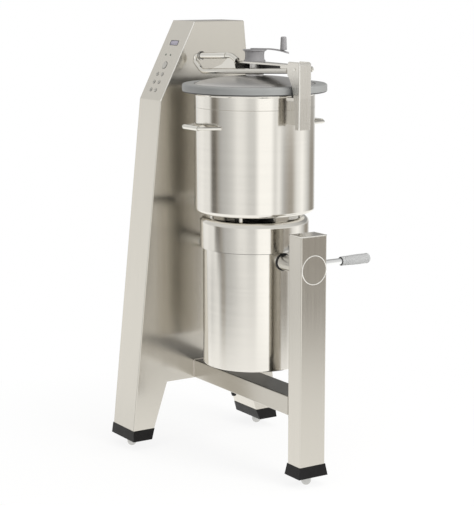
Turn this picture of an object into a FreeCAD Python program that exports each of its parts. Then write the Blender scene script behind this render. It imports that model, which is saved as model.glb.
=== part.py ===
import FreeCAD, Part

# Vertical cutter mixer: a tilting motor and bowl hung between a tall column and a short post.
# Frame of the model: X from the column to the post, -Y to the operator, +Z up,
# origin on the floor under the middle of the three feet.

import math
import os
import re

import Sketcher

Vector = FreeCAD.Vector
Rotation = FreeCAD.Rotation
Placement = FreeCAD.Placement
ALONG_X = Rotation(Vector(0, 1, 0), 90)
ALONG_Y = Rotation(Vector(1, 0, 0), -90)
UPRIGHT = Rotation()

# Driving sizes, in millimetres and degrees

SIZES = {
    # frame as a whole
    "column_width": 137.5,
    "frame_gap": 550.5,
    "post_width": 66,
    "axis_offset": 292.5,
    "column_height": 1400,
    "foot_level": 67,
    "trunnion_level": 677,
    # side outline of the column
    "foot_reach": 281,
    "foot_inner": 203,
    "arch_half": 152.3,
    "arch_level": 218.3,
    "kink_reach": 167.3,
    "kink_level": 1148.7,
    "panel_slope": 62.8,
    "top_back": 149,
    "column_skin": 2,
    "column_bend": 3,
    # rear cover and its screws
    "cover_thick": 1.5,
    "cover_margin": 3,
    "tab_width": 14,
    "tab_height": 24,
    "tab_thick": 3,
    "screw_radius": 2,
    "screw_head": 4.2,
    "screw_head_rise": 2.4,
    "screw_length": 8,
    # crossbar and post
    "tube_depth": 94,
    "tube_wall": 3,
    "tube_corner": 4,
    "crossbar_height": 60.5,
    "post_top": 774.5,
    "post_cap_rise": 6,
    "foot_plate": 4,
    "plug_radius": 9,
    "plug_drop": 15,
    "plug_offset": 220,
    "plug_side": 30,
    # boots and glides
    "boot_height": 35,
    "boot_flare": 6.5,
    "boot_lip": 1,
    "boot_splay": 3.5,
    "boot_tuck": 11.7,
    "glide_radius": 15.5,
    "glide_sole": 6.5,
    "stem_radius": 5,
    "stem_rise": 12,
    "stem_fit": 0.2,
    # control panel
    "board_width": 96,
    "board_length": 216,
    "board_thick": 1.6,
    "board_middle": 126,
    "board_depth": 9,
    "standoff_radius": 4,
    "display_width": 48,
    "display_length": 17,
    "display_place": 203,
    "display_thick": 3,
    "panel_fit": 0.3,
    "lamp_place": 160,
    "lamp_radius": 3.5,
    "round_place": 123,
    "round_radius": 11.5,
    "button_radius": 6,
    "button_first": 35,
    "button_pitch": 28,
    "button_spread": 15,
    "button_shift": -7,
    "button_proud": 1.5,
    "button_travel": 1.5,
    "button_flange": 2,
    "flange_thick": 1.5,
    # electrical parts in the column
    "plate_standoff": 12,
    "plate_thick": 2.5,
    "plate_depth": 180,
    "plate_height": 420,
    "plate_level": 480,
    "drive_depth": 120,
    "drive_height": 220,
    "drive_thick": 60,
    "drive_level": 620,
    # trunnions and their bearings
    "trunnion_radius": 24,
    "journal_radius": 20,
    "running_fit": 0.05,
    "trunnion_gap": 1,
    "cable_bore": 10,
    "journal_left": 52,
    "bearing_length": 45,
    "bearing_radius": 32,
    "bearing_flange": 50,
    "bearing_flange_thick": 8,
    "bearing_spigot": 26,
    "spigot_fit": 0.1,
    "bushing_length": 13,
    "bushing_flange": 34,
    "bushing_flange_thick": 5,
    "cap_radius": 45,
    "cap_fit": 0.3,
    "cap_rise": 1.5,
    "cap_boss": 28,
    "cap_boss_length": 12,
    # tilt lock
    "lock_level": 687,
    "lock_rod_radius": 9.8,
    "lock_gap": 0.3,
    "lock_pad_height": 32,
    "lock_pad_width": 22,
    "lock_pad_thick": 5,
    "lock_rod_end": 136,
    "lock_bushing_radius": 14,
    "lock_bushing_rise": 9,
    "lock_bushing_flange": 19,
    "lock_grip_start": 123,
    "lock_grip_end": 230,
    "lock_grip_radius": 15.2,
    "spring_outer": 14.5,
    "spring_inner": 10.6,
    "spring_thick": 0.8,
    # motor
    "motor_radius": 162,
    "motor_wall": 3,
    "motor_bottom": 333,
    "motor_lip": 7,
    "ring_bottom": 706,
    "ring_radius": 171.5,
    "ring_top": 803,
    "ring_round": 20,
    "ring_inner": 150,
    "ring_plate": 20,
    "ring_spigot": 14,
    "shadow_gap": 0.6,
    "motor_shaft_radius": 20,
    "upper_bearing_radius": 45,
    "lower_bearing_radius": 36,
    "bearing_height": 24,
    "shield_thick": 12,
    "shield_level": 348,
    "stator_bottom": 460,
    "stator_height": 140,
    "stator_bore": 105,
    "air_gap": 0.5,
    "winding_height": 30,
    "winding_inner": 110,
    "winding_outer": 144,
    "gland_radius": 8,
    "gland_drop": 24,
    "gland_offset": 62,
    "seat_fit": 0.2,
    # bowl and what locates it
    "bowl_radius": 188,
    "bowl_wall": 2.5,
    "bowl_bottom": 818,
    "bowl_top": 1190,
    "bowl_floor": 3,
    "bowl_corner": 12,
    "bowl_bead": 3,
    "bead_height": 7,
    "groove_level": 1144.5,
    "groove_depth": 0.7,
    "chimney_radius": 31,
    "chimney_wall": 4,
    "chimney_top": 905,
    "collar_radius": 67,
    "collar_bore": 24,
    "pin_radius": 6,
    "pin_ring": 145,
    "pin_angle": 50,
    "lug_ring": 141,
    "lug_thick": 12,
    "lug_width": 45,
    # bowl handles
    "handle_reach": 230,
    "handle_half": 52,
    "handle_foot": 73,
    "handle_rod": 5,
    "handle_sleeve": 8,
    "handle_bend": 14,
    "sleeve_half": 40,
    "sleeve_fit": 0.1,
    "handle_level": 1090,
    # cutter
    "hub_inner": 33,
    "hub_radius": 44,
    "hub_bottom": 834,
    "hub_top": 968,
    "hub_seat": 915,
    "shaft_top": 955,
    "knob_radius": 25,
    "knob_rise": 20,
    "blade_thick": 3,
    "blade_ring": 56,
    "blade_grind": 7,
    "lower_blade_level": 842,
    "middle_blade_level": 878,
    "upper_blade_level": 914,
    "lower_blade_reach": 178,
    "middle_blade_reach": 164,
    "upper_blade_reach": 148,
    "middle_blade_turn": 60,
    "upper_blade_turn": 120,
    # lid bracket and hinge
    "hinge_out": 246,
    "hinge_level": 1270,
    "hinge_pin_radius": 6,
    "hinge_pin_front": 24,
    "hinge_pin_rear": 43,
    "hinge_head": 8.5,
    "hinge_head_length": 6,
    "bracket_half": 22,
    "bracket_skin": 3,
    "bracket_back": 26,
    "bracket_rise": 23,
    "cheek_radius": 38.5,
    "bracket_bottom": 1092,
    "buffer_low": 1186,
    "buffer_high": 1221,
    "buffer_face": 18,
    "buffer_back": 2,
    "mount_low": 1102,
    "mount_high": 1172,
    "mount_side": 2,
    "mount_fit": 0.3,
    # lid frame
    "knuckle_radius": 20,
    "knuckle_top": 14,
    "knuckle_side_gap": 0.5,
    "knuckle_front": 41,
    "arm_radius": 8.5,
    "arm_wall": 1.5,
    "arm_start_side": 14,
    "arm_start_drop": 5.5,
    "arm_fall": 0.0475,
    "arm_spread": 0.094,
    "rear_arm_end": 73,
    "bridge_low": 1278,
    "bridge_thick": 5,
    "bridge_left": 75,
    "bridge_left_half": 30,
    "bridge_right_half": 17,
    "bridge_leg": 6,
    "bridge_flange": 3,
    "bridge_block": 40,
    "grip_radius": 10.2,
    "grip_fit": 0.1,
    "gusset_thick": 4,
    # loop handle, as distances from the knuckle's face and levels
    "loop_heel": 425,
    "loop_heel_bend": 34,
    "loop_head_run": 51,
    "loop_head_bend": 12.5,
    "grip_far": 434,
    "grip_far_level": 1293,
    "grip_near": 300,
    "grip_near_level": 1298.5,
    "grip_ring": 13.5,
    "grip_ring_length": 5,
    "loop_bow_run": 23,
    "loop_bow_bend": 26,
    "loop_foot": 247,
    "loop_foot_level": 1286,
    "gusset_far": 388,
    "gusset_knee": 367,
    "gusset_knee_level": 1257,
    "gusset_waist": 323,
    "gusset_waist_level": 1270,
    "gusset_near": 257,
    # lid
    "dome_top": 1240.5,
    "dome_shoulder": 159,
    "dome_shoulder_drop": 15.8,
    "dome_crown_radius": 808,
    "dome_edge": 188,
    "dome_edge_drop": 26.9,
    "dome_edge_radius": 97,
    "dome_flange": 205,
    "dome_flange_drop": 34,
    "dome_skin": 2,
    "dome_hole": 12,
    "rim_radius": 225.5,
    "rim_top": 1217,
    "rim_bottom": 1190.8,
    "rim_top_round": 7,
    "rim_bottom_round": 6,
    "rim_step": 200,
    "rim_seal_gap": 0.4,
    "rim_plug": 183,
    "rim_plug_inner": 176,
    "rim_plug_bottom": 1180,
    "rim_fit": 0.15,
    "boss_flange": 28,
    "boss_flange_rise": 5,
    "boss_radius": 16,
    # wiper
    "wiper_shaft_radius": 8,
    "wiper_hub_gap": 0.4,
    "wiper_base": 33.5,
    "wiper_waist": 29.5,
    "wiper_disc": 37,
    "wiper_height": 37,
    "crank_length": 110,
    "crank_width": 27,
    "crank_tip": 9,
    "crank_thick": 3.6,
    "crank_droop": 12,
    "crank_turn": 40,
    "crank_pin": 92.6,
    "crank_pin_radius": 3,
    "crank_knob_base": 10.6,
    "crank_knob_top": 9,
    "crank_knob_height": 41,
    "scraper_low": 1150,
    "scraper_reach": 162,
    "scraper_hub": 16,
    "scraper_arm": 12,
    "scraper_blade": 5,
}

doc = FreeCAD.newDocument("CutterMixer")
sheet = doc.addObject("Spreadsheet::Sheet", "Sizes")
for row, (alias, number) in enumerate(SIZES.items(), start=1):
    sheet.set("A%d" % row, alias)
    sheet.set("B%d" % row, str(number))
    sheet.setAlias("B%d" % row, alias)
doc.recompute()

PLACES = {}


def formula(text):
    """Write a formula of sizes and places in the form that the document's expressions need."""
    def expand(word):
        name = word.group()
        if name in SIZES:
            return "Sizes." + name
        return PLACES.get(name, name)
    return re.sub(r"[a-z][a-z_]*[a-z]", expand, text)


def place(name, text):
    """Name a place or size that is worked out from the driving sizes."""
    PLACES[name] = "(" + formula(text) + ")"


def value(text):
    """Work out a formula as a number."""
    return float(sheet.evalExpression(formula(text)))


# Places that several pieces share

place("half_length", "(column_width + frame_gap + post_width) / 2")
place("column_out", "-half_length")
place("column_in", "column_out + column_width")
place("column_mid", "column_out + column_width / 2")
place("post_in", "column_in + frame_gap")
place("post_out", "post_in + post_width")
place("post_mid", "post_in + post_width / 2")
place("axis_x", "column_in + axis_offset")
place("top_front", "(column_height - kink_level) / tan(panel_slope) - kink_reach")
place("cover_lean", "atan((foot_reach - top_back) / (column_height - foot_level)) / 1deg")
place("boot_base", "foot_level - boot_height")
place("boot_outer", "foot_reach + boot_splay")
place("boot_inner", "foot_inner + boot_tuck")
place("glide_y", "(boot_outer + boot_inner) / 2")
place("post_wall_in", "post_in + tube_wall")
place("post_wall_out", "post_out - tube_wall")
place("post_back", "tube_depth / 2")
place("pad_face", "trunnion_radius + lock_gap")
place("bowl_inner", "bowl_radius - bowl_wall")
place("hinge_x", "axis_x + hinge_out")
place("bracket_out", "hinge_x + bracket_back")
place("web_face", "bracket_out - bracket_skin")
place("cheek_face", "bracket_half - bracket_skin")
place("knuckle_face", "hinge_x - knuckle_front")
place("arm_start_level", "hinge_level - arm_start_drop")
place("bridge_top", "bridge_low + bridge_thick")
place("wiper_bottom", "bridge_top + wiper_hub_gap")
place("crank_level", "wiper_bottom + wiper_height")
place("wiper_seat", "crank_level - 10")
place("scraper_high", "scraper_low + 45")


# Helpers that make objects bound to the sheet

def bind(obj, **properties):
    for name, text in properties.items():
        obj.setExpression(name, formula(text))
    return obj


def stand(obj, at, turn=UPRIGHT):
    """Stand an object at three formulas, turned by a fixed rotation."""
    obj.Placement = Placement(Vector(), turn)
    for letter, text in zip("xyz", at):
        obj.setExpression("Placement.Base." + letter, formula(text))
    return obj


def lean(obj, axis, angle):
    """Turn an object about one axis by an angle that is a formula."""
    obj.Placement = Placement(obj.Placement.Base, Rotation(Vector(*axis), value(angle)))
    obj.setExpression("Placement.Rotation.Angle", formula(angle))
    return obj


def cylinder(name, radius, height, at, turn=UPRIGHT):
    obj = doc.addObject("Part::Cylinder", name)
    return stand(bind(obj, Radius=radius, Height=height), at, turn)


def box(name, length, width, height, at):
    obj = doc.addObject("Part::Box", name)
    return stand(bind(obj, Length=length, Width=width, Height=height), at)


def group(name, parts):
    obj = doc.addObject("Part::Compound", name)
    obj.Links = parts
    return obj


def fuse(name, parts):
    obj = doc.addObject("Part::MultiFuse", name)
    obj.Shapes = parts
    obj.Refine = True
    return obj


def cut(name, base, tools):
    obj = doc.addObject("Part::Cut", name)
    obj.Base = base
    obj.Tool = tools[0] if len(tools) == 1 else group(name + "_tools", tools)
    return obj


def fixed(name, shape):
    """Hold a shape that is swept or built from the sheet's numbers."""
    obj = doc.addObject("Part::Feature", name)
    obj.Shape = shape
    return obj


def new_body(name):
    return doc.addObject("PartDesign::Body", name)


def new_sketch(body, name, role, offset="0"):
    """Add a sketch on one of the body's own origin planes, moved along the plane's normal."""
    sketch = body.newObject("Sketcher::SketchObject", name)
    plane = next(f for f in body.Origin.OriginFeatures if f.Role == role)
    sketch.AttachmentSupport = [(plane, "")]
    sketch.MapMode = "FlatFace"
    sketch.setExpression("AttachmentOffset.Base.z", formula(offset))
    return sketch


def arc_between(start, end, radius):
    """Arc from start to end; a positive radius bends to the left, a negative one to the right."""
    chord = end - start
    half = chord.Length / 2
    side = 1 if radius > 0 else -1
    normal = Vector(-chord.y, chord.x, 0).normalize() * side
    centre = start + chord * 0.5 + normal * math.sqrt(max(radius * radius - half * half, 0))
    begin, finish = (start, end) if side > 0 else (end, start)
    first = math.atan2(begin.y - centre.y, begin.x - centre.x)
    last = math.atan2(finish.y - centre.y, finish.x - centre.x)
    if last < first:
        last += 2 * math.pi
    return Part.ArcOfCircle(Part.Circle(centre, Vector(0, 0, 1), abs(radius)), first, last)


def fix_point(sketch, edge, end, across, up):
    """Fix one end of an edge at two formulas, measured from the sketch's origin."""
    for kind, line, text in (("DistanceX", -2, across), ("DistanceY", -1, up)):
        if text == "0":
            sketch.addConstraint(Sketcher.Constraint("PointOnObject", edge, end, line))
            continue
        index = sketch.addConstraint(Sketcher.Constraint(kind, -1, 1, edge, end, value(text)))
        sketch.setExpression("Constraints[%d]" % index, formula(text))


def outline(sketch, points):
    """Draw a closed outline; a point with a third formula is reached by an arc of that radius."""
    corners = [Vector(value(p[0]), value(p[1]), 0) for p in points]
    edges = []
    for here, point in enumerate(points):
        start = corners[here - 1]
        if len(point) == 3:
            radius = value(point[2])
            number = sketch.addGeometry(arc_between(start, corners[here], radius), False)
            index = sketch.addConstraint(Sketcher.Constraint("Radius", number, abs(radius)))
            sketch.setExpression("Constraints[%d]" % index, "abs(" + formula(point[2]) + ")")
            edges.append((number, 1, 2) if radius > 0 else (number, 2, 1))
        else:
            number = sketch.addGeometry(Part.LineSegment(start, corners[here]), False)
            edges.append((number, 1, 2))
    for here, (number, _, end) in enumerate(edges):
        following, begin, _ = edges[(here + 1) % len(edges)]
        sketch.addConstraint(Sketcher.Constraint("Coincident", number, end, following, begin))
        fix_point(sketch, number, end, points[here][0], points[here][1])
    return sketch


def circle(sketch, across, up, radius):
    middle = Vector(value(across), value(up), 0)
    number = sketch.addGeometry(Part.Circle(middle, Vector(0, 0, 1), value(radius)), False)
    fix_point(sketch, number, 3, across, up)
    index = sketch.addConstraint(Sketcher.Constraint("Radius", number, value(radius)))
    sketch.setExpression("Constraints[%d]" % index, formula(radius))
    return sketch


def pad(body, sketch, length, name):
    feature = body.newObject("PartDesign::Pad", name)
    feature.Profile = sketch
    feature.setExpression("Length", formula(length))
    return feature


def turned(name, points, at=("axis_x", "0", "0"), turn=UPRIGHT):
    """Turn an outline of (radius, height) points about the body's own Z axis."""
    body = new_body(name)
    sketch = outline(new_sketch(body, name + "_outline", "XZ_Plane"), points)
    feature = body.newObject("PartDesign::Revolution", name + "_turn")
    feature.Profile = sketch
    feature.ReferenceAxis = (sketch, ["V_Axis"])
    feature.Angle = 360
    return stand(body, at, turn)


def edges_where(feature, test):
    """Names of the edges whose two ends both pass a test."""
    doc.recompute()
    names = []
    for number, edge in enumerate(feature.Shape.Edges, start=1):
        if len(edge.Vertexes) == 2 and test(*[v.Point for v in edge.Vertexes]):
            names.append("Edge%d" % number)
    return names


def dress(body, kind, base, names, name, **properties):
    """Add a fillet, chamfer or thickness on named edges or faces of a feature."""
    feature = body.newObject("PartDesign::" + kind, name)
    feature.Base = (base, names)
    return bind(feature, **properties)


def open_faces(feature, test):
    """Names of the faces whose middle normal passes a test."""
    doc.recompute()
    names = []
    for number, face in enumerate(feature.Shape.Faces, start=1):
        low_u, high_u, low_v, high_v = face.ParameterRange
        if test(face.normalAt((low_u + high_u) / 2, (low_v + high_v) / 2)):
            names.append("Face%d" % number)
    return names


def box_tube(name, role, offset, corners, length, ends):
    """A square tube with rounded corners: a rectangle is padded, rounded and hollowed."""
    body = new_body(name)
    solid = pad(body, outline(new_sketch(body, name + "_section", role, offset), corners), length, name + "_bar")
    along = [edge for edge in edges_where(solid, lambda a, b: abs((b - a).normalize().dot(ends)) > 0.99)]
    rounded = dress(body, "Fillet", solid, along, name + "_corners", Radius="tube_corner")
    faces = open_faces(rounded, lambda normal: abs(normal.dot(ends)) > 0.99)
    hollow = dress(body, "Thickness", rounded, faces, name + "_hollow", Value="tube_wall")
    hollow.Reversed = True
    return body


def route_wire(points, radii):
    """A wire of straight runs joined by tangent arcs at the inner points."""
    edges = []
    start = points[0]
    for here in range(1, len(points) - 1):
        corner = points[here]
        back = (points[here - 1] - corner).normalize()
        onward = (points[here + 1] - corner).normalize()
        half_turn = math.acos(max(-1, min(1, -back.dot(onward)))) / 2
        reach = radii[here - 1] * math.tan(half_turn)
        first = corner + back * reach
        last = corner + onward * reach
        towards = (back + onward).normalize()
        centre = corner + towards * (radii[here - 1] / math.cos(half_turn))
        middle = centre - towards * radii[here - 1]
        edges.append(Part.LineSegment(start, first).toShape())
        edges.append(Part.Arc(first, middle, last).toShape())
        start = last
    edges.append(Part.LineSegment(start, points[-1]).toShape())
    return Part.Wire(edges)


def bent_rod(points, radii, radius):
    """A round rod along a route."""
    wire = route_wire(points, radii)
    ring = Part.Wire(Part.Circle(points[0], points[1] - points[0], radius).toShape())
    return wire.makePipeShell([ring], True, False)


# Column: a folded sheet housing on two legs, open at the back

def on_panel(obj, across, up, out):
    """Stand an object on the sloping panel: across from its middle, up from its foot, out of it."""
    stand(obj, (
        "column_mid + " + across,
        "-kink_reach + (%s) * cos(panel_slope) - (%s) * sin(panel_slope)" % (up, out),
        "kink_level + (%s) * sin(panel_slope) + (%s) * cos(panel_slope)" % (up, out)))
    return lean(obj, (1, 0, 0), "panel_slope")


def on_back(obj, across, up, out):
    """Stand an object on the leaning back: across from the outer side, up from the foot, out of it."""
    stand(obj, (
        "column_out + " + across,
        "foot_reach - (%s) * sin(cover_lean) + (%s) * cos(cover_lean)" % (up, out),
        "foot_level + (%s) * cos(cover_lean) + (%s) * sin(cover_lean)" % (up, out)))
    return lean(obj, (1, 0, 0), "cover_lean")


place("back_length", "(column_height - foot_level) / cos(cover_lean)")
PANEL_BUTTONS = [
    ("button_%s_%s" % (level, side), "button_shift %s button_spread" % sign, "button_first + %d * button_pitch" % step)
    for step, level in enumerate(("low", "middle", "high"))
    for side, sign in (("left", "-"), ("right", "+"))]


def panel_disc(name, across, up, radius, low, high):
    """A disc square to the panel, from one depth to another, counted outwards."""
    obj = doc.addObject("Part::Cylinder", name)
    bind(obj, Radius=radius, Height="(%s) - (%s)" % (high, low))
    return on_panel(obj, across, up, low)


def panel_holes():
    holes = [panel_disc("hole_" + name, across, up, "button_radius + panel_fit", "-10", "5")
             for name, across, up in PANEL_BUTTONS]
    holes.append(panel_disc("hole_round", "0", "round_place", "round_radius + panel_fit", "-10", "5"))
    for side, sign in (("left", "-"), ("right", "+")):
        across = "button_shift %s button_spread" % sign
        holes.append(panel_disc("hole_lamp_" + side, across, "lamp_place", "lamp_radius + panel_fit", "-10", "5"))
    window = doc.addObject("Part::Box", "hole_display")
    bind(window, Length="display_width + 2 * panel_fit", Width="display_length + 2 * panel_fit", Height="15")
    on_panel(window, "(-display_width / 2 - panel_fit)", "display_place - display_length / 2 - panel_fit", "-10")
    return holes + [window]


def cover_spots():
    """Where the rear cover's screws are: across from the outer side, up from the foot."""
    across = ("column_skin + tab_width / 2", "column_width - column_skin - tab_width / 2")
    return [(a, "back_length * %s" % share) for share in ("0.12", "0.5", "0.9") for a in across]


def make_column():
    body = new_body("column_sheet")
    profile = outline(new_sketch(body, "column_outline", "YZ_Plane", "column_out"), [
        ("-foot_inner", "foot_level"),
        ("-arch_half", "arch_level"),
        ("arch_half", "arch_level"),
        ("foot_inner", "foot_level"),
        ("foot_reach", "foot_level"),
        ("top_back", "column_height"),
        ("top_front", "column_height"),
        ("-kink_reach", "kink_level"),
        ("-foot_reach", "foot_level")])
    block = pad(body, profile, "column_width", "column_block")
    sides = (value("column_out"), value("column_in"))
    inner_foot = -value("foot_inner") + 1
    top_back = value("top_back") + 1

    def front_edge(a, b):
        same_side = abs(a.x - b.x) < 0.01 and min(abs(a.x - s) for s in sides) < 0.01
        low = min(a.z, b.z) < value("arch_level") and max(a.z, b.z) < value("kink_level") - 1
        behind = max(a.y, b.y) > top_back
        level_foot = abs(a.z - b.z) < 0.01 and a.z < value("arch_level") + 1
        return same_side and not (low or behind or level_foot) and min(a.y, b.y) < inner_foot + 400
    bends = edges_where(block, front_edge)
    bent = dress(body, "Fillet", block, bends, "column_bends", Radius="column_bend")
    back = open_faces(bent, lambda normal: normal.y > 0.9)
    back = [max(back, key=lambda f: bent.Shape.getElement(f).Area)]
    shell = dress(body, "Thickness", bent, back, "column_shell_wall", Value="column_skin")
    shell.Reversed = True

    tabs = []
    for number, (across, up) in enumerate(cover_spots()):
        tab = doc.addObject("Part::Box", "tab_%d" % number)
        bind(tab, Length="tab_width", Width="tab_thick", Height="tab_height")
        tabs.append(on_back(tab, "%s - tab_width / 2" % across, "%s - tab_height / 2" % up, "-tab_thick"))
    welded = fuse("column_with_tabs", [body] + tabs)

    holes = panel_holes()
    for number, (across, up) in enumerate(cover_spots()):
        hole = cylinder("tab_hole_%d" % number, "screw_radius + spigot_fit", "20", ("0", "0", "0"))
        holes.append(back_bore(hole, across, up, "-10"))
    holes.append(cylinder("column_trunnion_hole", "bearing_spigot", "20",
                          ("column_in - 10", "0", "trunnion_level"), ALONG_X))
    for side, sign in (("front", "-"), ("rear", "")):
        holes.append(cylinder("stem_hole_" + side, "stem_radius + stem_fit", "20",
                              ("column_mid", sign + "glide_y", "foot_level - 10")))
    return cut("column_shell", welded, holes)


def back_bore(obj, across, up, out):
    """Lay a round piece square to the leaning back, pointing out of it."""
    stand(obj, (
        "column_out + " + across,
        "foot_reach - (%s) * sin(cover_lean) + (%s) * cos(cover_lean)" % (up, out),
        "foot_level + (%s) * cos(cover_lean) + (%s) * sin(cover_lean)" % (up, out)))
    return lean(obj, (1, 0, 0), "cover_lean - 90")


def make_rear_cover():
    plate = doc.addObject("Part::Box", "cover_plate")
    bind(plate, Length="column_width", Width="cover_thick", Height="back_length - 2 * cover_margin")
    on_back(plate, "0", "cover_margin", "0")
    holes = []
    screws = []
    for number, (across, up) in enumerate(cover_spots()):
        hole = cylinder("cover_hole_%d" % number, "screw_radius + spigot_fit", "20", ("0", "0", "0"))
        holes.append(back_bore(hole, across, up, "-10"))
        shank = cylinder("shank_%d" % number, "screw_radius", "screw_length", ("0", "0", "0"))
        back_bore(shank, across, up, "cover_thick - screw_length")
        head = doc.addObject("Part::Cone", "head_%d" % number)
        bind(head, Radius1="screw_head", Radius2="screw_head * 0.6", Height="screw_head_rise")
        back_bore(head, across, up, "cover_thick")
        screws.append(fuse("screw_%d" % number, [shank, head]))
    return [cut("rear_cover", plate, holes), group("cover_screws", screws)]


# Control panel: a board on standoffs behind the slope, with a display, lamps and push buttons

def make_button(name, across, up, radius):
    """A stepped push button: its cap stands in the hole and its flange stays behind the sheet."""
    cap = panel_disc(name + "_cap", across, up, radius, "-column_skin - flange_thick", "button_proud")
    flange = panel_disc(name + "_flange", across, up, radius + " + button_flange",
                        "-column_skin - panel_fit - flange_thick", "-column_skin - panel_fit")
    return fuse(name, [cap, flange])


def make_panel():
    plate = doc.addObject("Part::Box", "board_plate")
    bind(plate, Length="board_width", Width="board_length", Height="board_thick")
    on_panel(plate, "(-board_width / 2)", "board_middle - board_length / 2", "-column_skin - board_depth - board_thick")
    pieces = [plate]
    place("corner_across", "board_width / 2 - standoff_radius")
    place("corner_up", "board_length / 2 - standoff_radius")
    for row, sign_up in (("low", "-"), ("high", "+")):
        for side, sign in (("left", "-"), ("right", "+")):
            pieces.append(panel_disc("standoff_%s_%s" % (row, side), "(%s corner_across)" % sign,
                                     "board_middle %s corner_up" % sign_up, "standoff_radius",
                                     "-column_skin - board_depth", "-column_skin"))
    place("switch_top", "-column_skin - panel_fit - flange_thick - button_travel - panel_fit")
    spots = PANEL_BUTTONS + [("round_button", "0", "round_place")]
    for name, across, up in spots:
        pieces.append(panel_disc("switch_" + name, across, up, "button_radius * 0.6",
                                 "-column_skin - board_depth", "switch_top"))
    for side, sign in (("left", "-"), ("right", "+")):
        pieces.append(panel_disc("lamp_" + side, "button_shift %s button_spread" % sign, "lamp_place",
                                 "lamp_radius", "-column_skin - board_depth", "0.5"))
    board = fuse("control_board", pieces)
    glass = doc.addObject("Part::Box", "display_glass")
    bind(glass, Length="display_width", Width="display_length", Height="display_thick")
    on_panel(glass, "(-display_width / 2)", "display_place - display_length / 2", "-display_thick")
    back = doc.addObject("Part::Box", "display_module")
    bind(back, Length="display_width - 4", Width="display_length - 4", Height="board_depth + column_skin - display_thick")
    on_panel(back, "(-display_width / 2 + 2)", "display_place - display_length / 2 + 2", "-column_skin - board_depth")
    display = fuse("display_window", [glass, back])
    buttons = [make_button(name, across, up, "button_radius") for name, across, up in PANEL_BUTTONS]
    buttons.append(make_button("round_button", "0", "round_place", "round_radius"))
    return [board, display] + buttons


def make_electrics():
    """Mounting plate on four spacers, and the speed drive with its cooling fins."""
    place("plate_x", "column_out + column_skin + plate_standoff")
    plate = box("plate_sheet", "plate_thick", "plate_depth", "plate_height", ("plate_x", "-plate_depth / 2", "plate_level"))
    spacers = []
    for row, level in (("low", "plate_level + 20"), ("high", "plate_level + plate_height - 20")):
        for side, sign in (("front", "-"), ("rear", "")):
            spacers.append(cylinder("spacer_%s_%s" % (row, side), "6", "plate_standoff",
                                    ("plate_x - plate_standoff", sign + "(plate_depth / 2 - 15)", level), ALONG_X))
    plate_node = fuse("mounting_plate", [plate] + spacers)
    case = box("drive_case", "drive_thick", "drive_depth", "drive_height",
               ("plate_x + plate_thick", "-drive_depth / 2", "drive_level"))
    slots = [box("drive_slot_%d" % n, "30", "6", "drive_height + 2",
                 ("plate_x + plate_thick + drive_thick - 22", "-drive_depth / 2 + 9 + %d * drive_depth / 8" % n, "drive_level - 1"))
             for n in range(8)]
    return [plate_node, cut("drive_unit", case, slots)]


# Crossbar, post, boots and glides

def make_frame():
    half = "tube_depth / 2"
    crossbar = box_tube("crossbar", "YZ_Plane", "column_in", [
        ("-" + half, "arch_level"), (half, "arch_level"),
        (half, "arch_level + crossbar_height"), ("-" + half, "arch_level + crossbar_height")],
        "frame_gap", Vector(1, 0, 0))
    plug = turned("crossbar_plug", [
        ("0", "arch_level - plug_drop"), ("plug_radius * 0.7", "arch_level - plug_drop"),
        ("plug_radius", "arch_level - plug_drop * 0.6"), ("plug_radius", "arch_level"), ("0", "arch_level")],
        ("column_in + plug_offset", "-plug_side", "0"))
    post = box_tube("post_sheet", "XY_Plane", "foot_level", [
        ("post_in", "-" + half), ("post_out", "-" + half), ("post_out", half), ("post_in", half)],
        "post_top - foot_level", Vector(0, 0, 1))
    plate = box("post_foot_plate", "post_width - 2 * tube_wall - 2 * spigot_fit", "tube_depth - 2 * tube_wall - 2 * spigot_fit",
                "foot_plate", ("post_in + tube_wall + spigot_fit", "-tube_depth / 2 + tube_wall + spigot_fit", "foot_level"))
    holes = [
        cylinder("post_inner_hole", "bearing_spigot", "20", ("post_in - 10", "0", "trunnion_level"), ALONG_X),
        cylinder("post_outer_hole", "cap_radius + cap_fit", "20", ("post_wall_out", "0", "trunnion_level"), ALONG_X),
        cylinder("lock_hole", "lock_bushing_radius", "20", ("post_mid", "post_back - 10", "lock_level"), ALONG_Y)]
    tube = cut("post_tube_open", post, holes)
    stem = cylinder("post_stem_hole", "stem_radius + stem_fit", "20", ("post_mid", "0", "foot_level - 10"))
    post_tube = group("post_tube", [tube, cut("post_plate_open", plate, [stem])])

    body = new_body("post_cap")
    blank = pad(body, outline(new_sketch(body, "post_cap_outline", "XY_Plane", "post_top"), [
        ("post_in", "-" + half), ("post_out", "-" + half), ("post_out", half), ("post_in", half)]),
        "post_cap_rise", "post_cap_blank")
    low = value("post_top")
    round_edges = edges_where(blank, lambda a, b: max(a.z, b.z) > low + 0.01 and abs(a.z - b.z) < 0.01)
    uprights = edges_where(blank, lambda a, b: abs(a.z - b.z) > 0.01)
    dress(body, "Fillet", blank, round_edges + uprights, "post_cap_round", Radius="tube_corner")
    return [crossbar, plug, post_tube, body]


def make_boot(name, left, right, near, far, near_top, far_top):
    """A boot that widens to the floor; near and far are its lower edges in Y."""
    boot = doc.addObject("Part::Wedge", name)
    bind(boot, Xmin=left + " - boot_flare", Xmax=right + " + boot_flare",
         X2min=left + " - boot_lip", X2max=right + " + boot_lip",
         Ymin="0", Ymax="boot_height",
         Zmin="-(%s)" % far, Zmax="-(%s)" % near, Z2min="-(%s)" % far_top, Z2max="-(%s)" % near_top)
    return stand(boot, ("0", "0", "boot_base"), Rotation(Vector(1, 0, 0), 90))


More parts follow.
